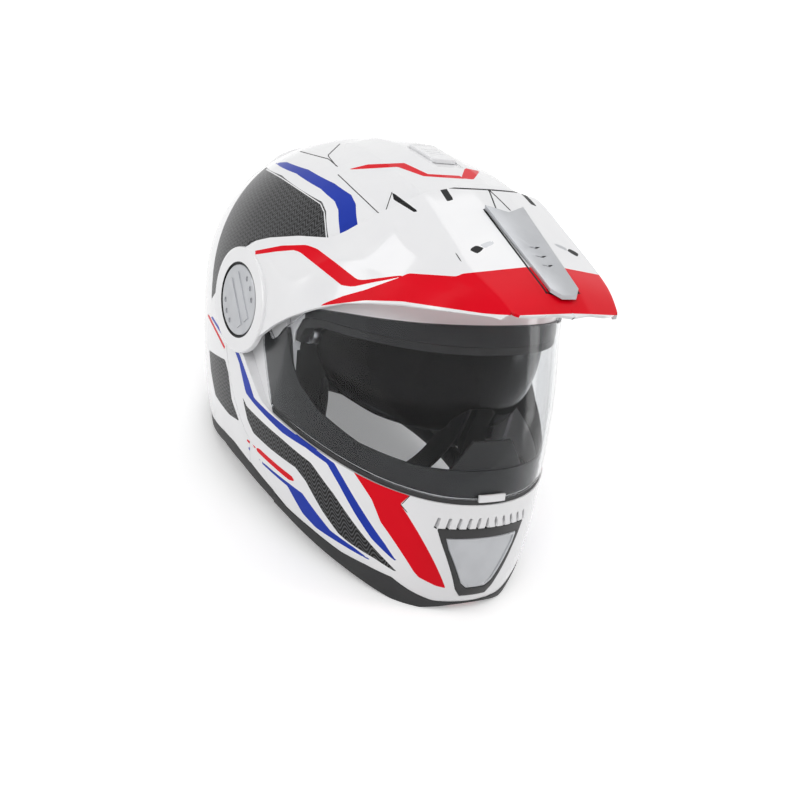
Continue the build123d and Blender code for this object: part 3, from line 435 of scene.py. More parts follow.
def treadMaterial():
    # dark panel printed with rows of interlocking S-shaped links, paler towards the rear
    m, tree, shader = nodeMaterial("tread_print")
    place = addNode(tree, "ShaderNodeTexCoord").outputs["Object"]
    turnMap = addNode(tree, "ShaderNodeMapping", {
        "Vector": place, "Rotation": (math.radians(treadPrint["turn"]), 0, 0), "Scale": (1000, 1000, 1000)})
    parts = addNode(tree, "ShaderNodeSeparateXYZ", {"Vector": turnMap.outputs["Vector"]}).outputs
    along = mathNode(tree, "MULTIPLY", parts["Y"], 2 * math.pi / treadPrint["link"])
    swing = mathNode(tree, "MULTIPLY", mathNode(tree, "SINE", along), treadPrint["wave"])
    level = mathNode(tree, "ADD", parts["Z"], swing)
    rows = mathNode(tree, "SINE", mathNode(tree, "MULTIPLY", level, math.pi / treadPrint["row"]))
    groove = addNode(tree, "ShaderNodeMapRange", {
        "Value": mathNode(tree, "ABSOLUTE", rows), "From Min": treadPrint["line"] - treadPrint["soft"],
        "From Max": treadPrint["line"] + treadPrint["soft"]}, interpolation_type="SMOOTHSTEP")
    groove = groove.outputs["Result"]
    ink = addNode(tree, "ShaderNodeMix", {"A": treadPrint["ground"], "B": treadPrint["ink"],
                                          "Factor": groove}, data_type="RGBA")
    where = addNode(tree, "ShaderNodeSeparateXYZ", {"Vector": place})
    fade = addNode(tree, "ShaderNodeMapRange", {
        "Value": where.outputs["Y"], "From Min": treadPrint["fadeFrom"], "From Max": treadPrint["fadeTo"],
        "To Max": treadPrint["fadeMost"]})
    pale = addNode(tree, "ShaderNodeMix", {"A": ink.outputs["Result"], "B": treadPrint["pale"],
                                           "Factor": fade.outputs["Result"]}, data_type="RGBA")
    give(tree, shader, {"Base Color": pale.outputs["Result"], "Roughness": 0.32, "Specular IOR Level": 0.25})
    bumped(tree, shader, groove, 0.3, 0.0004)
    return m


tread = treadMaterial()


def clearPlastic(name, color, rough, bend, shine):
    m, tree, shader = nodeMaterial(name)
    varied(tree, shader, grain(tree, shader, 20, 0.01), color, tuple(c * 0.97 for c in color), 8)
    give(tree, shader, {"Roughness": rough, "Transmission Weight": 1.0, "IOR": bend,
                        "Specular IOR Level": shine})
    return m


shieldClear = clearPlastic("shield_clear", (0.86, 0.87, 0.88), 0.01, bend=1.2, shine=0.3)
lensSmoke = clearPlastic("lens_smoke", (0.05, 0.052, 0.058), 0.02, bend=1.2, shine=0.3)


def clothMaterial(name, color, other, scale):
    # knitted cloth with a fine weave
    m, tree, shader = nodeMaterial(name)
    place = addNode(tree, "ShaderNodeTexCoord")
    waves = [addNode(tree, "ShaderNodeTexWave",
                     {"Scale": scale, "Distortion": 0.6, "Vector": place.outputs["Object"]},
                     bands_direction=direction).outputs["Fac"] for direction in ("X", "Z")]
    bumped(tree, shader, mathNode(tree, "MULTIPLY", *waves), 0.5, 0.0004)
    varied(tree, shader, place, color, other, 45)
    give(tree, shader, {"Roughness": 0.9, "Sheen Weight": 0.3})
    return m


cloth = clothMaterial("dark_cloth", (0.022, 0.022, 0.024), (0.032, 0.032, 0.035), 900)
webbing = clothMaterial("black_webbing", (0.012, 0.012, 0.013), (0.02, 0.02, 0.021), 1400)


def dress(node, material, angle=30.0, bevel=0.0):
    # gives a CAD node its material and smooth shading
    piece = nodes[node]
    piece.data.materials.clear()
    piece.data.materials.append(material)
    weld = piece.modifiers.new("weld", "WELD")
    weld.merge_threshold = 1e-6
    if bevel:
        bevelled(piece, bevel, 35)
    smooth = piece.modifiers.new("smooth", "NODES")
    smooth.node_group = smoothGroup(angle)


smoothGroups = {}


def smoothGroup(angle):
    # smooth shading by angle as a geometry tree
    if angle in smoothGroups:
        return smoothGroups[angle]
    group = bpy.data.node_groups.new(f"smooth_{int(angle)}", "GeometryNodeTree")
    for way in ("INPUT", "OUTPUT"):
        group.interface.new_socket("Geometry", in_out=way, socket_type="NodeSocketGeometry")
    start = addNode(group, "NodeGroupInput")
    faces = addNode(group, "GeometryNodeSetShadeSmooth", {"Geometry": start.outputs[0]})
    measure = addNode(group, "GeometryNodeInputMeshEdgeAngle")
    sharp = addNode(group, "FunctionNodeCompare", {"A": measure.outputs["Unsigned Angle"],
                                                   "B": math.radians(angle)}, operation="LESS_THAN")
    edges = addNode(group, "GeometryNodeSetShadeSmooth", {
        "Geometry": faces.outputs["Geometry"], "Shade Smooth": sharp.outputs["Result"]}, domain="EDGE")
    addNode(group, "NodeGroupOutput", {0: edges.outputs["Geometry"]})
    smoothGroups[angle] = group
    return group


def formLimits(inset=0.0):
    rows, cap = formRows(inset, 1.5)
    return np.vstack([rows, [cap, 0.5, 0.5, 0.5]])


limits = formLimits()


def formValue(v):
    # above zero outside the helmet form
    w, f, r = (np.interp(v[:, 2], limits[:, 0], limits[:, k]) for k in (1, 2, 3))
    ahead = v[:, 1] > 0
    reach = np.where(ahead, f, r)
    power = np.where(ahead, helmet["frontPower"], helmet["rearPower"])
    return (np.abs(v[:, 0]) / w) ** power + (np.abs(v[:, 1]) / reach) ** power - 1


def radial(v):
    return np.hypot(v[:, 1], v[:, 2])


def seenAt(v):
    # photograph positions of upright points
    rel = toRow(v) - np.array(eyeRow)
    depth = -(rel @ np.array(towardRow))
    return np.column_stack([400 + view["focal"] * (rel @ np.array(rightRow)) / depth,
                            400 - view["focal"] * (rel @ np.array(upRow)) / depth])


def paintSeen(mesh, pixels, mark, nearSide=True):
    # paints what the photograph shows of an outline on the near side
    v, t, marks = mesh
    field = polygonField(seenAt(v), pixels)
    if nearSide:
        field = np.maximum(field, v[:, 0] * 2)
    v, t, marks, inside = splitMesh(v, t, marks, field)
    marks = marks.copy()
    marks[inside] = mark
    return v, t, marks


def lineFields(p, line):
    # signed distance to one side of a line of points, and how far past its ends
    line = np.asarray(line, float)
    best = np.full(len(p), 1e9)
    signed = np.zeros(len(p))
    past = np.full(len(p), 1e9)
    for i, (a, b) in enumerate(zip(line, line[1:])):
        edge = b - a
        length = np.hypot(*edge)
        along = ((p - a) @ edge) / length
        across = ((p[:, 0] - a[0]) * edge[1] - (p[:, 1] - a[1]) * edge[0]) / length
        k = np.clip(along, 0, length)
        far = np.hypot(across, along - k)
        near = far < best - 1e-9
        best = np.where(near, far, best)
        sign = np.where(across >= 0, 1.0, -1.0)
        signed = np.where(near, sign * far, signed)
        over = np.maximum(-along if i == 0 else -1e3, along - length if i == len(line) - 2 else -1e3)
        past = np.where(near, over, past)
    return signed, past


def paintLine(mesh, line, width, mark, nearSide=True):
    # paints a thin line that the photograph shows, exact on triangles wider than it
    v, t, marks = mesh
    for shift in (-width / 2, width / 2):
        signed, _ = lineFields(seenAt(v), line)
        v, t, marks, _ = splitMesh(v, t, marks, signed + shift)
    middle = v[t].mean(1)
    signed, past = lineFields(seenAt(middle), line)
    inside = (np.abs(signed) < width / 2) & (past < 0)
    if nearSide:
        inside &= middle[:, 0] < 0
    marks = marks.copy()
    marks[inside] = mark
    return v, t, marks


def mirrorMarks(mesh):
    # keeps the wearer's right half and mirrors it to the left
    v, t, marks = clip(mesh, mesh[0][:, 0])
    edge = np.abs(v[:, 0]) < 1e-4
    v[edge, 0] = 0
    other = v * (-1, 1, 1)
    return np.vstack([v, other]), np.vstack([t, t[:, ::-1] + len(v)]), np.concatenate([marks, marks])


# Outlines seen from the side, forward and up
outlines = dict(
    rim=[(-200, -98), (-140, -101), (-57, -109), (-24, -108.5), (-5, -110), (23, -118), (51, -127.5),
         (240, -190), (240, -260), (-200, -260)],
    port=[(240, 9), (82, 9), (66, 5), (59, -6), (58, -18), (61, -40), (62, -60), (61, -90), (56, -127),
          (56, -260), (240, -260)],
    seam=[(-25, -10), (-20, -32), (-19, -43), (-13, -58), (-6, -72), (5, -86), (14, -94.5), (27, -103),
          (36, -112), (51, -127.5)],
    sweep=[(51, -200), (240, -200), (240, 10), (90, 30), (76, 40), (44, 58), (10, 48), (-13, 39.5)],
    chinLow=[(51, -127.5), (67, -134.5), (91, -141), (116, -149), (133, -152), (148, -156), (155, -163),
             (163, -170), (175, -172.5), (240, -172.5)],
    chinLip=[(240, -75), (175, -75), (150, -72.5), (120, -66), (90, -53), (72, -40), (62, -27), (57, -14),
             (48, 1), (36, 12), (20, 18)],
    ledge=[(3, -34), (18, -47), (31, -59), (37, -64), (49, -68.5), (78, -76), (112, -84), (137, -90),
           (156, -94), (172, -97.5), (240, -101), (240, 90), (0, 90)],
    shield=[(26, -26), (35, -42), (47, -64), (60, -68), (78, -72), (112, -80), (137, -86), (156, -90),
            (170, -93.4), (240, -97), (240, 24.5), (157, 24.5), (149, 23.4), (136, 21.5), (117, 19.5),
            (100, 17.8), (79, 15), (70, 10), (62, 2), (52, -6), (45, -14), (38, -18), (24, -9)],
)
brow = dict(gap=0.6, lift=0.25, wall=0.8)
browRow = [(0, 153.8), (20, 152.4), (42, 146.1), (64, 132.4), (82, 113.0), (92, 96.8), (101, 75.1),
           (106.2, 58)]


def browRadius(x):
    points = np.array(browRow)
    keys = np.concatenate([[0], np.cumsum(np.hypot(*np.diff(points, axis=0).T))])
    fine = spline(keys, points, np.linspace(0, keys[-1], 400))
    return np.interp(np.abs(x), fine[:, 0], fine[:, 1])


def offsetLine(outline, forward):
    return [(f + forward, z) for f, z in outline]


print("shell")
shellSkin = dict(lift=0.45, wall=0.9, step=2.1, seamGap=0.7, pocketRadius=35.5)
skin = clipSide(formMesh(-shellSkin["lift"], shellSkin["step"]), outlines["rim"], False)
pocket = offsetLine(outlines["seam"], -shellSkin["seamGap"]) + outlines["sweep"]
field = np.minimum(polygonField(flat(skin[0], "side"), pocket), radial(skin[0]) - shellSkin["pocketRadius"])
skin = clip(skin, field, False)


def browRemoved(v):
    # below zero where the brow band takes the form's place
    over = browRadius(v[:, 0]) - brow["gap"] - radial(v)
    ahead = 20 - v[:, 1]
    return np.maximum(over, ahead)


skin = clip(skin, browRemoved(skin[0]), False)
skin = clipSide(skin, outlines["port"], False)

# Graphics, as positions in the photograph
graphics = dict(
    blueUpper=[(276.5, 162.9), (288, 162.1), (309.4, 169.7), (335.4, 183.5), (352.3, 195), (356.8, 204.2),
               (358.8, 225.9), (356, 246), (340, 240), (340.8, 232.8), (339.2, 210.3), (335.4, 201.1),
               (321.6, 188.9), (297.1, 173.6)],
    panelUpper=[(267.5, 166.9), (282.6, 175.4), (322.9, 201.9), (326.9, 211.4), (329.2, 237.9), (329, 262),
                (290, 262), (240, 262), (212, 300), (200, 330), (203, 250), (222, 205), (240, 182)],
    panelLower=[(209.9, 349.8), (225.7, 359.7), (229, 373), (232.3, 399.5), (239.8, 421.1), (229.8, 414.4),
                (216, 395), (211.6, 371.3)],
    redCrown=[(349.2, 169), (367.6, 164.4), (404.3, 162.9), (428, 174), (464.9, 176), (464.9, 168),
              (480, 171.2), (473.5, 179.5), (423.6, 176.2), (397.6, 166.9), (352, 169.5)],
    blueMain=[(228.1, 340.6), (235.6, 351.4), (239.8, 363), (246.4, 392.9), (253.8, 402.8), (282.9, 432.7),
              (306.1, 447.6), (327.6, 463.4), (339.3, 484.1), (355.8, 513.9), (372.4, 538.8), (394, 559.5),
              (400.7, 563), (395.6, 558.7), (385.7, 543.8), (364.1, 512.3), (344.2, 479.1), (335.1, 463.4),
              (314.4, 447.6), (296.1, 434.3), (267.9, 411.1), (254.7, 397.8), (249.7, 381.3), (243.9, 364.7),
              (239.8, 353.1)],
    treadChin=[(242.7, 395.4), (247.2, 406.1), (282.9, 439.3), (311.1, 462.5), (316, 469.2), (334.3, 494),
               (357.5, 527.2), (385.7, 559.5), (400.4, 573.9), (375.7, 558.7), (349.2, 542.1), (339.3, 533.8),
               (322.7, 510.6), (306.1, 480.8), (296.1, 467.5), (269.6, 447.6), (253.8, 432.7), (248, 419.4)],
    redSmall=[(256.3, 447.6), (259.7, 448.4), (292.8, 476.6), (295.3, 481.6), (289.5, 479.9), (258, 451.7)],
    blueLow=[(262.1, 460.9), (289.5, 483.3), (302.8, 493.2), (331, 530.5), (354.2, 547.1), (370.8, 559.5),
             (370, 560), (345, 546), (316, 527.2), (303, 513), (288, 486), (262.1, 463)],
    wedge=[(392, 191.9), (418.1, 211.1), (414.3, 212.3), (393.6, 199.6)],
    redBlock=[(462, 175.8), (464.9, 168), (480, 171.2), (473.5, 179.5), (462, 178.4)],
    wedgeLine=[(392, 192), (383.6, 217.2)],
    crownSeam=[(337.7, 174.3), (382.9, 217.2)],
    crownSeamRear=[(300.2, 151.4), (328.5, 159), (337.7, 166.7)],
    crownSeamSide=[(340, 143.7), (327.8, 155.5), (336.2, 165.9)],
    panelInner=[(266.3, 169.3), (281, 177.6), (320.6, 203.9), (324.2, 212.3), (326.5, 238), (326.6, 250)],
    rearBlue=[(211.6, 316.6), (225.7, 339.8)],
    rearRed=[(208.2, 314.9), (224.8, 348.1)],
    smallRed=[(247.2, 440.1), (254.7, 447.6)],
    smallBlue=[(248.9, 447.6), (259.7, 460.9)],
    plateLine=[(411.9, 493.6), (401, 505), (407.4, 512.7)],
    redChin=[(350, 467.5), (380, 481), (395.3, 486), (410.6, 493.6), (399.8, 503.8), (406.1, 513.3),
             (418.3, 533.1), (433.6, 561.2), (445.1, 588), (434.8, 585.4), (418.3, 577.1), (413.2, 571.4),
             (380, 521.6), (371, 499)],
)
paints = [white, red, blue, tread, dark, portGrey]
farRed = 72.0
skin = paint(skin, unproject(graphics["blueUpper"]), 2)
skin = paint(skin, unproject(graphics["panelUpper"]), 3)
skin = paint(skin, unproject(graphics["panelLower"]), 3)
for key, width, mark in (("crownSeam", 1.0, 4), ("crownSeamRear", 0.9, 4), ("crownSeamSide", 0.9, 4),
                         ("panelInner", 1.1, 0), ("rearBlue", 1.8, 2), ("rearRed", 1.8, 1),
                         ("smallRed", 1.8, 1), ("smallBlue", 1.8, 2)):
    skin = paintLine(skin, graphics[key], width, mark)
skin = mirrorMarks(skin)
skin = paint(skin, offsetLine(outlines["shield"], -1.5), 5, "side", lambda v: 45 - v[:, 1])
makePiece("shell_lacquer", skin, paints, "shell", shellSkin["wall"], 0.25)


def browMesh():
    # band of the brow, turned about the pivot axis
    xs = np.linspace(-106, 106, 120)
    turns = np.radians(np.linspace(-22, 60, 110))
    r = browRadius(xs) - brow["gap"] + brow["lift"]
    x, a = np.meshgrid(xs, turns)
    rr = np.broadcast_to(r, x.shape)
    v = np.column_stack([x.ravel(), (rr * np.cos(a)).ravel(), (rr * np.sin(a)).ravel()])
    return v, *gridTriangles(len(turns), len(xs))


band = browMesh()
band = clip(band, formValue(band[0] * (1 - brow["lift"] / 150)))
band = clipSide(band, outlines["port"], False)
side = polygonField(flat(band[0], "side"), pocket)
band = clip(band, np.maximum(side, 103 - np.abs(band[0][:, 0])), False)
band = paint(band, offsetLine(outlines["shield"], -1.5), 1, "side", lambda v: 45 - v[:, 1])
makePiece("brow_lacquer", band, [white, portGrey], "shell", brow["wall"], 0.2)

print("chin bar")
chinSkin = dict(lift=0.45, wall=0.9, step=1.7, ledgeRadius=33.0)
chinOutline = outlines["seam"] + outlines["chinLow"] + outlines["chinLip"]
skin = clipSide(formMesh(-chinSkin["lift"], chinSkin["step"]), chinOutline)
skin = clipSide(skin, outlines["ledge"], False)
skin = clip(skin, radial(skin[0]) - chinSkin["ledgeRadius"], False)
ventOutline = [(-37, -114), (37, -114), (33, -124), (16, -160), (11, -166), (-11, -166), (-16, -160),
               (-33, -124)]
skin = clipFront(skin, ventOutline, False)
teeth = dict(count=11, pitch=7.4, width=2.6, length=8.0, height=-110.4, lean=14.0)
for i in range(teeth["count"]):
    x = (i - (teeth["count"] - 1) / 2) * teeth["pitch"]
    c, s = math.cos(math.radians(teeth["lean"])), math.sin(math.radians(teeth["lean"]))
    corners = []
    for a, b in ((-1, -1), (1, -1), (1, 1), (-1, 1)):
        p, q = a * teeth["width"] / 2, b * teeth["length"] / 2
        corners.append((x + p * c + q * s, teeth["height"] - p * s + q * c))
    skin = clipFront(skin, corners, False)
for key, mark in (("blueMain", 2), ("treadChin", 3), ("redSmall", 1), ("blueLow", 2)):
    skin = paint(skin, unproject(graphics[key]), mark)
for key, width, mark in (("smallRed", 1.8, 1), ("smallBlue", 1.8, 2)):
    skin = paintLine(skin, graphics[key], width, mark)
skin = mirrorMarks(skin)
front = unproject(graphics["redChin"], "front")
skin = paint(skin, front, 1, "front", lambda v: -v[:, 1])
skin = paint(skin, front * (-1, 1), 1, "front", lambda v: np.maximum(-v[:, 1], farRed - v[:, 0]))
skin = paintLine(skin, graphics["plateLine"], 0.9, 4)
makePiece("chin_lacquer", skin, paints, "chin_bar", chinSkin["wall"], 0.25)

print("plaque")
plaque = dict(lift=0.95, wall=1.1, border=1.6, inset=0.3, step=1.3)
plaqueOutline = [(-30, -121), (30, -121), (27, -129), (13, -155), (8, -159), (-8, -159), (-13, -155),
                 (-27, -129)]
rim = clipFront(formMesh(-plaque["lift"], plaque["step"]), plaqueOutline, True, plaque["inset"])
rim = clipFront(rim, plaqueOutline, False, plaque["inset"] + plaque["border"])
makePiece("plaque_rim", rim, [silver], "chin_vent_cover", plaque["wall"], 0.35)

print("shield")
shieldRows = [(60, 113.5, 138), (45, 113.5, 147.5), (30, 113.5, 153), (0, 113.5, 159), (-30, 113.5, 165),
              (-60, 111.5, 169), (-92, 108, 171.5), (-106, 106, 172)]
shieldSkin = dict(wall=2.2, armFace=109.3, armRadius=26.0, armReach=40.0, rear=20.0, step=2.2)


def shieldMesh():
    rows = np.array(shieldRows[::-1], float)
    at = np.arange(rows[0, 0], rows[-1, 0], shieldSkin["step"])
    fine = spline(rows[:, 0], rows[:, 1:], at)
    rings = np.column_stack([at, fine, np.full(len(at), helmet["front"] / 2)])
    v, t, marks = ringMesh(rings, None, shieldSkin["step"])
    v[:, 0] = np.clip(v[:, 0], -shieldSkin["armFace"], shieldSkin["armFace"])
    return v, t, marks


lens = shieldMesh()
lens = clip(lens, np.minimum(polygonField(flat(lens[0], "side"), outlines["shield"]),
                             radial(lens[0]) - shieldSkin["armRadius"]))
lens = clip(lens, shieldSkin["rear"] - lens[0][:, 1] - 200 * (radial(lens[0]) < shieldSkin["armReach"]))
lensPiece = makePiece("shield_lens", lens, [shieldClear], "face_shield",
                      shieldSkin["wall"], 0.5)
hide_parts("face_shield")

print("peak")
peakSkin = dict(wall=2.6, step=2.4, crease=3, bossHole=30.0)
peakRows = [
    (-45, (14, 118), (60, 104), (100, 72), (119.6, 34), (119.6, -60)),
    (0, (14, 124), (56, 108), (98.7, 74), (119.4, 38), (119.6, -60)),
    (30, (14, 124), (54, 108), (99.2, 70), (116.7, 38), (119.2, -60)),
    (60, (14, 121), (50, 108), (90, 77), (113.5, 31), (119, -50)),
    (85, (14, 116), (48, 106), (77, 82), (101, 50), (117, -10)),
    (110, (14, 108), (48, 101), (73, 80), (90, 54), (105, 12)),
    (132, (14, 97), (50, 90), (69, 68), (80, 50), (93, 24)),
    (153, (14, 86.5), (51, 79.5), (63, 64), (72, 50), (84, 29)),
    (175, (14, 75.5), (52, 68), (59, 59), (64, 51), (71, 36)),
    (200, (14, 63), (47, 56.5), (49, 52), (51, 46), (54, 38)),
    (232, (14, 37), (36, 32), (38, 27), (40, 22), (43, 14)),
]
peakLow = [(0, -38), (10, -36.7), (19, -29), (34, -17), (51, -4), (66, 6), (84, 16), (108, 27), (125, 32),
           (147, 37), (169, 40), (201, 44), (214, 43), (240, 20)]
peakBack = [(240, 140), (107, 140), (107, 104), (100, 94), (91, 82), (79, 68), (70, 62), (46, 57.5),
            (20, 50), (8, 45), (0, 38)]
brimPlan = [(-130, -60), (-130, 80), (-102, 108), (-95.5, 125), (-86, 147), (-74.5, 169), (-56, 197),
            (-50, 204), (-45, 209.5), (-40, 213), (-30, 215.5), (0, 219), (30, 215.5), (40, 213), (45, 209.5),
            (50, 204), (56, 197), (74.5, 169), (86, 147), (95.5, 125), (102, 108), (130, 80), (130, -60)]


def rowsMesh(rows, step, crease):
    # surface through bent rows, with the bends eased
    keys = np.array([r[0] for r in rows], float)
    table = np.array([np.ravel(r[1:]) for r in rows], float)
    at = np.arange(keys[0], keys[-1] + 0.01, step)
    fine = spline(keys, table, at).reshape(len(at), -1, 2)
    lines = []
    share = [14, 22, 22, 26, 40]
    for f, row in zip(at, fine):
        half = [np.array([0.0, row[0, 1]])] + list(row)
        points = []
        for (a, b), count in zip(zip(half, half[1:]), share):
            points += [a + (b - a) * k / count for k in range(count)]
        points = np.array(points + [half[-1]])
        whole = np.vstack([points[::-1] * (-1, 1), points[1:]])
        for _ in range(crease):
            whole[1:-1] = (whole[:-2] + 2 * whole[1:-1] + whole[2:]) / 4
        lines.append(np.column_stack([whole[:, 0], np.full(len(whole), f), whole[:, 1]]))
    return np.vstack(lines), *gridTriangles(len(lines), len(lines[0]))


hood = rowsMesh(peakRows, peakSkin["step"], peakSkin["crease"])
hood = clipSide(hood, peakLow + peakBack)
hood = clip(hood, polygonField(flat(hood[0], "plan"), brimPlan))
hood = clip(hood, radial(hood[0]) - peakSkin["bossHole"], False)
peakGraphics = dict(
    redArm=[(254.3, 250.9), (281.8, 245.5), (306.3, 244.8), (317, 248.6), (335.4, 262.4), (356.8, 279.2),
            (363, 280), (399.7, 275.4), (404, 276.5), (398.2, 277.7), (373.7, 282.3), (352.3, 286.8),
            (341.5, 285.3), (333.9, 279.2), (300.2, 252.4), (294.1, 250.1), (275.7, 251.6), (255, 254.7)],
    redBrim=[(317, 306), (343, 296), (364.5, 290), (398, 278), (408.5, 273.2), (456.2, 276.4), (462.7, 273.6),
             (525.6, 267.1), (560.3, 267.7), (591.8, 276.4), (602.6, 274.9), (640, 302.5), (640, 318),
             (612.4, 312.2), (517, 315.5), (495.2, 314.4), (482.2, 313.3), (402, 301.4), (365, 300.3),
             (318.4, 306.1)],
    slotRear=[(438.3, 186.6), (445.9, 187.7), (453.6, 199.4), (447.4, 201.6), (440.8, 191.2)],
    slotPanel=[(468.2, 249.4), (476.5, 245.3), (485.2, 248.6), (477, 253.7)],
    slotGrey=[(479.6, 244.8), (491.8, 240.2), (494.4, 243.5), (485.2, 248.4)],
    panelLine=[(438.3, 187), (445.9, 187.7), (488.8, 189.7), (496.4, 209.6)],
    stripLine=[(483.6, 209), (546.6, 292.4), (565.9, 298.4)],
    shortLine=[(455.6, 253), (460.9, 261.1)],
)

for key, mark in (("redArm", 1), ("redBrim", 1), ("slotRear", 2), ("slotPanel", 2), ("slotGrey", 3)):
    hood = paintSeen(hood, peakGraphics[key], mark)
hood = paintSeen(hood, graphics["wedge"], 2)
# painted shadow: the strip shadow line paints the peak dark along the silver strip's side, in place of the
# shade of its side wall and groove
for key, width in (("panelLine", 1.3), ("stripLine", 1.6), ("shortLine", 1.0)):
    hood = paintLine(hood, peakGraphics[key], width, 2)
hood = mirrorMarks(hood)
hoodPiece = makePiece("peak_shell", hood, [white, red, dark, silver], "peak",
                      peakSkin["wall"], 0.5)

# Round boss on each pivot, turned from a half section of radius and distance from the middle
boss = dict(section=[(6.06, 112.7), (9.1, 112.7), (9.1, 116.6), (25.7, 116.6), (25.7, 118.6), (27.2, 119.6),
                     (36.6, 119.6), (37.6, 119.1), (38, 118.0), (38, 115.4), (24, 115.4), (24, 109.7),
                     (6.06, 109.7)],
            steps=128)


def lathe(name, section, side, material, body, steps, darkFaces=()):
    # ring turned about the pivot axis
    v, t = [], []
    n = len(section)
    for i in range(steps):
        a = 2 * math.pi * i / steps
        for r, x in section:
            v.append((side * x, r * math.cos(a), r * math.sin(a)))
    for i in range(steps):
        for k in range(n):
            a, b = i * n + k, i * n + (k + 1) % n
            c, d = (i + 1) % steps * n + (k + 1) % n, (i + 1) % steps * n + k
            t += [(a, b, c), (a, c, d)]
    t = np.array(t)
    if side < 0:
        t = t[:, ::-1]
    marks = np.tile(np.repeat(np.isin(np.arange(n), darkFaces).astype(int), 2), steps)
    return makePiece(name, (np.array(v), t, marks), [material, dark], body, 0, 0, 25, True)


for side, word in ((1, "left"), (-1, "right")):
    lathe(f"peak_boss_{word}", boss["section"], side, white, "peak", boss["steps"], (2, 3, 4))
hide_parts("peak")


def nodeTriangles(name, longest=3.0):
    # merged triangles of a CAD node, in upright millimetres, split until no edge is long
    edit = bmesh.new()
    edit.from_mesh(nodes[name].data)
    bmesh.ops.remove_doubles(edit, verts=edit.verts, dist=2e-6)
    bmesh.ops.triangulate(edit, faces=edit.faces)
    for _ in range(6):
        large = [e for e in edit.edges if e.calc_length() > longest / 1000]
        if not large:
            break
        bmesh.ops.subdivide_edges(edit, edges=large, cuts=1)
        bmesh.ops.triangulate(edit, faces=edit.faces)
    edit.verts.index_update()
    row = np.array([v.co for v in edit.verts])
    t = np.array([[v.index for v in f.verts] for f in edit.faces])
    edit.free()
    return toUpright(row), t, np.zeros(len(t), int)


print("crown")
crownRedEnd = 20.0
crown = nodeTriangles("crown_housing")
crown = paintSeen(crown, graphics["redCrown"], 1)
crown = paintSeen(crown, graphics["blueUpper"], 2)
crown = paintSeen(crown, graphics["wedge"], 3)
for key, width in (("crownSeam", 1.0), ("crownSeamRear", 0.9), ("crownSeamSide", 0.9), ("wedgeLine", 0.9)):
    crown = paintLine(crown, graphics[key], width, 3)
crown = mirrorMarks(crown)
middle = crown[0][crown[1]].mean(1)
crown[2][(crown[2] == 1) & (middle[:, 0] > 0) & (middle[:, 1] > crownRedEnd)] = 0
crown = paintSeen(crown, graphics["redBlock"], 1, False)
crownPiece = makePiece("crown_lacquer", crown, [white, red, blue, dark], "shell", 0, 0.3)
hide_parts("crown_housing")

print("fittings")
dress("outer_shell", white, 30)
bar = nodeTriangles("chin_bar", 6.0)
bar = paint(bar, offsetLine(outlines["shield"], -1.0), 1)
barPiece = makePiece("chin_bar_inner", bar, [white, portGrey], "chin_bar", 0, 0)
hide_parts("chin_bar")
for name in ("rear_exhaust", "top_vent_slider"):
    dress(name, white, 30, 0.3)
for name in ("shell_trim", "chin_trim", "brow_gasket", "shield_seal", "breath_guard"):
    dress(name, rubber, 30, 0.25)
for name in ("chin_vent_frame", "chin_vent_mesh", "visor_lever", "buckle_body"):
    dress(name, black, 30, 0.25)
for name in ("chin_vent_cover", "peak_strip"):
    dress(name, silver, 30, 0.3)
for side in ("left", "right"):
    dress(f"pivot_cover_{side}", silver, 30, 0.2)
    for name in ("pivot_pin", "strap_anchor", "strike_pin", "latch_hook", "visor_pin"):
        dress(f"{name}_{side}", steel, 30, 0.2)
dress("shield_tab", white, 30, 0.3)
dress("release_button", scarlet, 30, 0.3)
dress("buckle_lever", scarlet, 30, 0.3)
dress("eps_liner", foam, 30)
dress("sun_visor", lensSmoke, 40, 0.2)

print("soft goods")
padSet = dict(voxel=3.6, pressure=4.0, start=1.6, cap=5.0, frames=20, over=0.25, smooth=2)
padNodes = dict(cheek_pad_left=0.8, cheek_pad_right=0.8, chin_pad_left=0.7, chin_pad_right=0.7,
                crown_pad=0.6, neck_roll=0.8)


def mergedCopy(node, name):
    # merged copy of a CAD node's mesh as an object of its own
    data = nodes[node].data.copy()
    data.name = name
    edit = bmesh.new()
    edit.from_mesh(data)
    bmesh.ops.remove_doubles(edit, verts=edit.verts, dist=2e-6)
    edit.to_mesh(data)
    edit.free()
    return linked(name, data)


def applied(piece):
    # gives a piece the mesh that its modifiers make, and clears them
    graph = bpy.context.evaluated_depsgraph_get()
    data = bpy.data.meshes.new_from_object(piece.evaluated_get(graph))
    piece.modifiers.clear()
    piece.data = data
    return piece


def points(data):
    co = np.empty(len(data.vertices) * 3)
    data.vertices.foreach_get("co", co)
    return co.reshape(-1, 3)


def setPoints(data, co):
    data.vertices.foreach_set("co", np.ascontiguousarray(co, np.float64).ravel())
    data.update()


def normals(data):
    n = np.empty(len(data.vertices) * 3)
    data.vertices.foreach_get("normal", n)
    return n.reshape(-1, 3)


def eased(data, co, rounds):
    # moves points part way to the middle of their neighbours
    edges = np.empty(len(data.edges) * 2, int)
    data.edges.foreach_get("vertices", edges)
    a, b = edges.reshape(-1, 2).T
    count = np.maximum(np.bincount(np.concatenate([a, b]), minlength=len(co)), 1)[:, None]
    for _ in range(rounds):
        total = np.zeros_like(co)
        np.add.at(total, a, co[b])
        np.add.at(total, b, co[a])
        co = co * 0.5 + total / count * 0.5
    return co


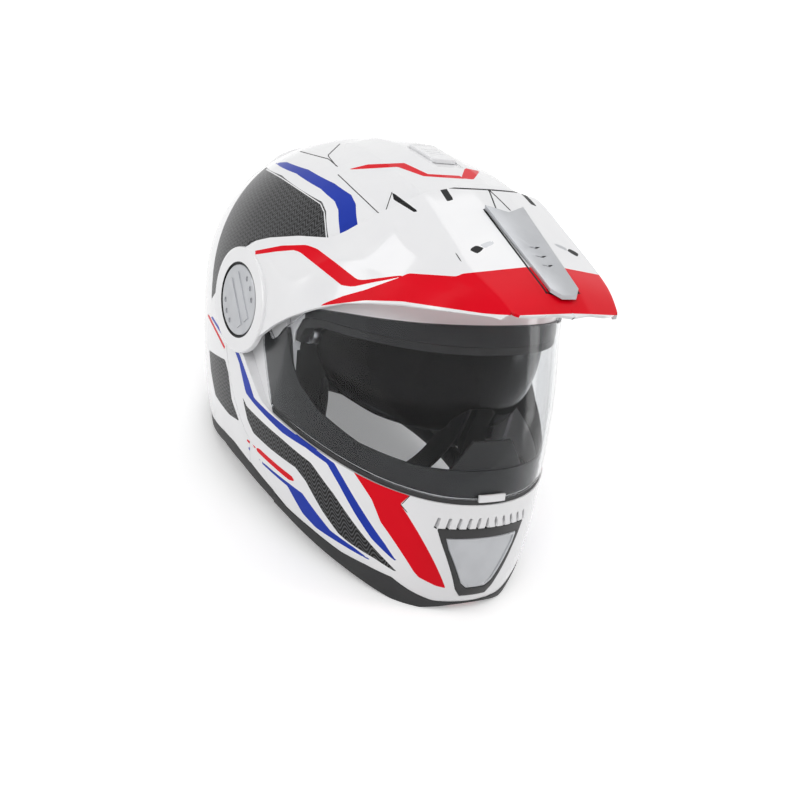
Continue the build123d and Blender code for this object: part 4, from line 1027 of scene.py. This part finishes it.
pads = {}
for node, fill in padNodes.items():
    pad = mergedCopy(node, f"{node}_cloth")
    skin = pad.data
    tree = BVHTree.FromPolygons([v.co for v in skin.vertices], [p.vertices for p in skin.polygons])
    remesh = pad.modifiers.new("remesh", "REMESH")
    remesh.mode = "VOXEL"
    remesh.voxel_size = padSet["voxel"] / 1000
    applied(pad)
    co = eased(pad.data, points(pad.data), padSet["smooth"])
    setPoints(pad.data, co)
    setPoints(pad.data, points(pad.data) - normals(pad.data) * padSet["start"] / 1000)
    pads[node] = (pad, tree, points(pad.data), fill)
    sim = pad.modifiers.new("cloth", "CLOTH")
    sim.settings.use_pressure = True
    sim.settings.uniform_pressure_force = padSet["pressure"]
    sim.settings.effector_weights.gravity = 0
    sim.collision_settings.use_collision = False
    sim.settings.quality = 4
for i in range(1, padSet["frames"] + 1):
    bpy.context.scene.frame_set(i)
for node, (pad, tree, start, fill) in pads.items():
    applied(pad)
    co = points(pad.data)
    move = co - start
    size = np.linalg.norm(move, axis=1, keepdims=True)
    limit = padSet["cap"] / 1000
    co = start + move * np.minimum(1, limit / np.maximum(size, 1e-9))
    kept = []
    for p in co:
        place, normal, _, _ = tree.find_nearest(Vector(p))
        beyond = (Vector(p) - place).dot(normal) - padSet["over"] / 1000
        kept.append(p - np.array(normal) * beyond if beyond > 0 else p)
    setPoints(pad.data, eased(pad.data, np.array(kept), 1))
    finer = pad.modifiers.new("finer", "SUBSURF")
    finer.levels = finer.render_levels = 1
    applied(pad)
    pad.data.materials.clear()
    pad.data.materials.append(cloth)
    shadeSmooth(pad, 60)
    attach(pad, "chin_bar" if node.startswith("chin") else "shell")
    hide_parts(node)
bpy.context.scene.frame_set(1)

print("straps and curtain")
for node, body in (("strap_long", "shell"), ("strap_short", "shell"), ("chin_curtain", "chin_bar")):
    piece = mergedCopy(node, f"{node}_cloth")
    bevelled(piece, 0.5, 50)
    applied(piece)
    piece.data.materials.clear()
    piece.data.materials.append(cloth if node == "chin_curtain" else webbing)
    shadeSmooth(piece, 40)
    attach(piece, body)
    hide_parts(node)

print("stitches")
stitch = dict(spacing=4.2, length=2.6, radius=0.28, inset=1.8, proud=0.12)
strapForm = dict(halfSpan=68.0, sag=76.0, top=-56.0, wall=2.2, width=22.0, forward=38.0)


def stitchGroup():
    # short threads set along the edges of a line
    group = bpy.data.node_groups.new("stitch_row", "GeometryNodeTree")
    group.interface.new_socket("Geometry", in_out="INPUT", socket_type="NodeSocketGeometry")
    for name in ("Spacing", "Length", "Radius"):
        socket = group.interface.new_socket(name, in_out="INPUT", socket_type="NodeSocketFloat")
        socket.default_value = stitch[name.lower()] / 1000
    group.interface.new_socket("Thread", in_out="INPUT", socket_type="NodeSocketMaterial")
    group.interface.new_socket("Geometry", in_out="OUTPUT", socket_type="NodeSocketGeometry")
    given = addNode(group, "NodeGroupInput").outputs
    curve = addNode(group, "GeometryNodeMeshToCurve", {"Mesh": given["Geometry"]})
    spread = addNode(group, "GeometryNodeResampleCurve",
                     {"Curve": curve.outputs["Curve"], "Length": given["Spacing"]}, mode="LENGTH")
    thread = addNode(group, "GeometryNodeMeshCylinder",
                     {"Vertices": 8, "Depth": given["Length"], "Radius": given["Radius"]})
    tangent = addNode(group, "GeometryNodeInputTangent")
    aim = addNode(group, "FunctionNodeAlignEulerToVector", {"Vector": tangent.outputs["Tangent"]}, axis="Z")
    place = addNode(group, "GeometryNodeInstanceOnPoints", {
        "Points": spread.outputs["Curve"], "Instance": thread.outputs["Mesh"],
        "Rotation": aim.outputs["Rotation"]})
    real = addNode(group, "GeometryNodeRealizeInstances", {"Geometry": place.outputs["Instances"]})
    painted = addNode(group, "GeometryNodeSetMaterial",
                      {"Geometry": real.outputs["Geometry"], "Material": given["Thread"]})
    addNode(group, "NodeGroupOutput", {"Geometry": painted.outputs["Geometry"]})
    sockets = [item for item in group.interface.items_tree if item.in_out == "INPUT"]
    return group, {item.name: item.identifier for item in sockets}


def strapLine(start, stop, across, count=60):
    # points along the outer face of the strap loop, in the upright frame
    turns = np.radians(np.linspace(start, stop, count))
    a = strapForm["halfSpan"] + strapForm["wall"] / 2 + stitch["proud"]
    b = strapForm["sag"] + strapForm["wall"] / 2 + stitch["proud"]
    return np.column_stack([a * np.cos(turns), np.full(count, strapForm["forward"] + across),
                            strapForm["top"] + b * np.sin(turns)])


threadGroup, threadInputs = stitchGroup()
thread = plastic("grey_thread", (0.10, 0.10, 0.105), (0.13, 0.13, 0.135), 0.8)
side = strapForm["width"] / 2 - stitch["inset"]
for name, start, stop in (("long", -84.0, -4.0), ("short", -122.0, -176.0)):
    lines, edges, count = [], [], 0
    for across in (-side, side):
        row = strapLine(start, stop, across)
        lines.append(row)
        edges += [(count + i, count + i + 1) for i in range(len(row) - 1)]
        count += len(row)
    data = bpy.data.meshes.new(f"strap_{name}_stitches")
    data.from_pydata(toRow(np.vstack(lines)).tolist(), edges, [])
    piece = linked(f"strap_{name}_stitches", data)
    maker = piece.modifiers.new("stitches", "NODES")
    maker.node_group = threadGroup
    maker[threadInputs["Thread"]] = thread
    applied(piece)
    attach(piece, "shell")

print("stage")
backdropLight = dict(near=0.3, far=0.62, nearReach=0.35, farReach=1.6, glow=0.42)


def seenRays(tree):
    # 1 for rays that show the backdrop, straight or in a reflection or through a lens
    rays = addNode(tree, "ShaderNodeLightPath").outputs
    last = rays["Is Camera Ray"]
    for ray in ("Is Glossy Ray", "Is Transmission Ray"):
        last = mathNode(tree, "MAXIMUM", last, rays[ray])
    return last


def paleMaterial():
    # pale floor that keeps its shadow and fades to the white backdrop
    m, tree, shader = nodeMaterial("pale_floor")
    place = addNode(tree, "ShaderNodeTexCoord")
    reach = addNode(tree, "ShaderNodeVectorMath", {0: place.outputs["Object"]}, operation="LENGTH")
    lift = addNode(tree, "ShaderNodeMapRange", {
        "Value": reach.outputs["Value"], "From Min": backdropLight["nearReach"],
        "From Max": backdropLight["farReach"], "To Min": backdropLight["near"],
        "To Max": backdropLight["far"]})
    seen = mathNode(tree, "MULTIPLY", lift.outputs["Result"], seenRays(tree))
    give(tree, shader, {"Base Color": (0.96, 0.96, 0.96, 1), "Roughness": 0.6, "Specular IOR Level": 0.1,
                        "Emission Color": (1, 1, 1, 1), "Emission Strength": seen})
    return m


floorData = bpy.data.meshes.new("floor")
size = 6.0
corners = [(-size, -size, 0), (size, -size, 0), (size, size, 0), (-size, size, 0)]
floorData.from_pydata(corners, [], [(0, 1, 2, 3)])
floor = linked("floor", floorData)
floorData.materials.append(paleMaterial())


def areaLight(name, place, aim, size, power):
    light = bpy.data.lights.new(name, "AREA")
    light.shape = "RECTANGLE"
    light.size, light.size_y = size
    light.energy = power
    lamp = linked(name, light)
    lamp.location = place
    lamp.rotation_mode = "QUATERNION"
    lamp.rotation_quaternion = (Vector(aim) - Vector(place)).to_track_quat("-Z", "Y")


areaLight("key", (-1.0, -1.0, 1.5), (0, 0, 0.12), (0.9, 0.9), 9)
areaLight("top", (0.1, 0.3, 1.9), (0, 0, 0.1), (1.6, 1.6), 9)
areaLight("left_strip", (-1.3, 0.25, 0.5), (0, 0, 0.12), (0.3, 1.4), 3)
areaLight("right_strip", (1.2, -0.6, 0.6), (0, 0, 0.12), (0.3, 1.4), 4)
world = bpy.data.worlds.new("studio")
world.use_nodes = True
sky = world.node_tree
glow = addNode(sky, "ShaderNodeMapRange", {"Value": seenRays(sky), "To Min": backdropLight["glow"],
                                           "To Max": 1.0})
give(sky, sky.nodes["Background"], {"Color": (1, 1, 1, 1), "Strength": glow.outputs["Result"]})
bpy.context.scene.world = world
bpy.context.scene.view_settings.view_transform = "Standard"

print("finish")
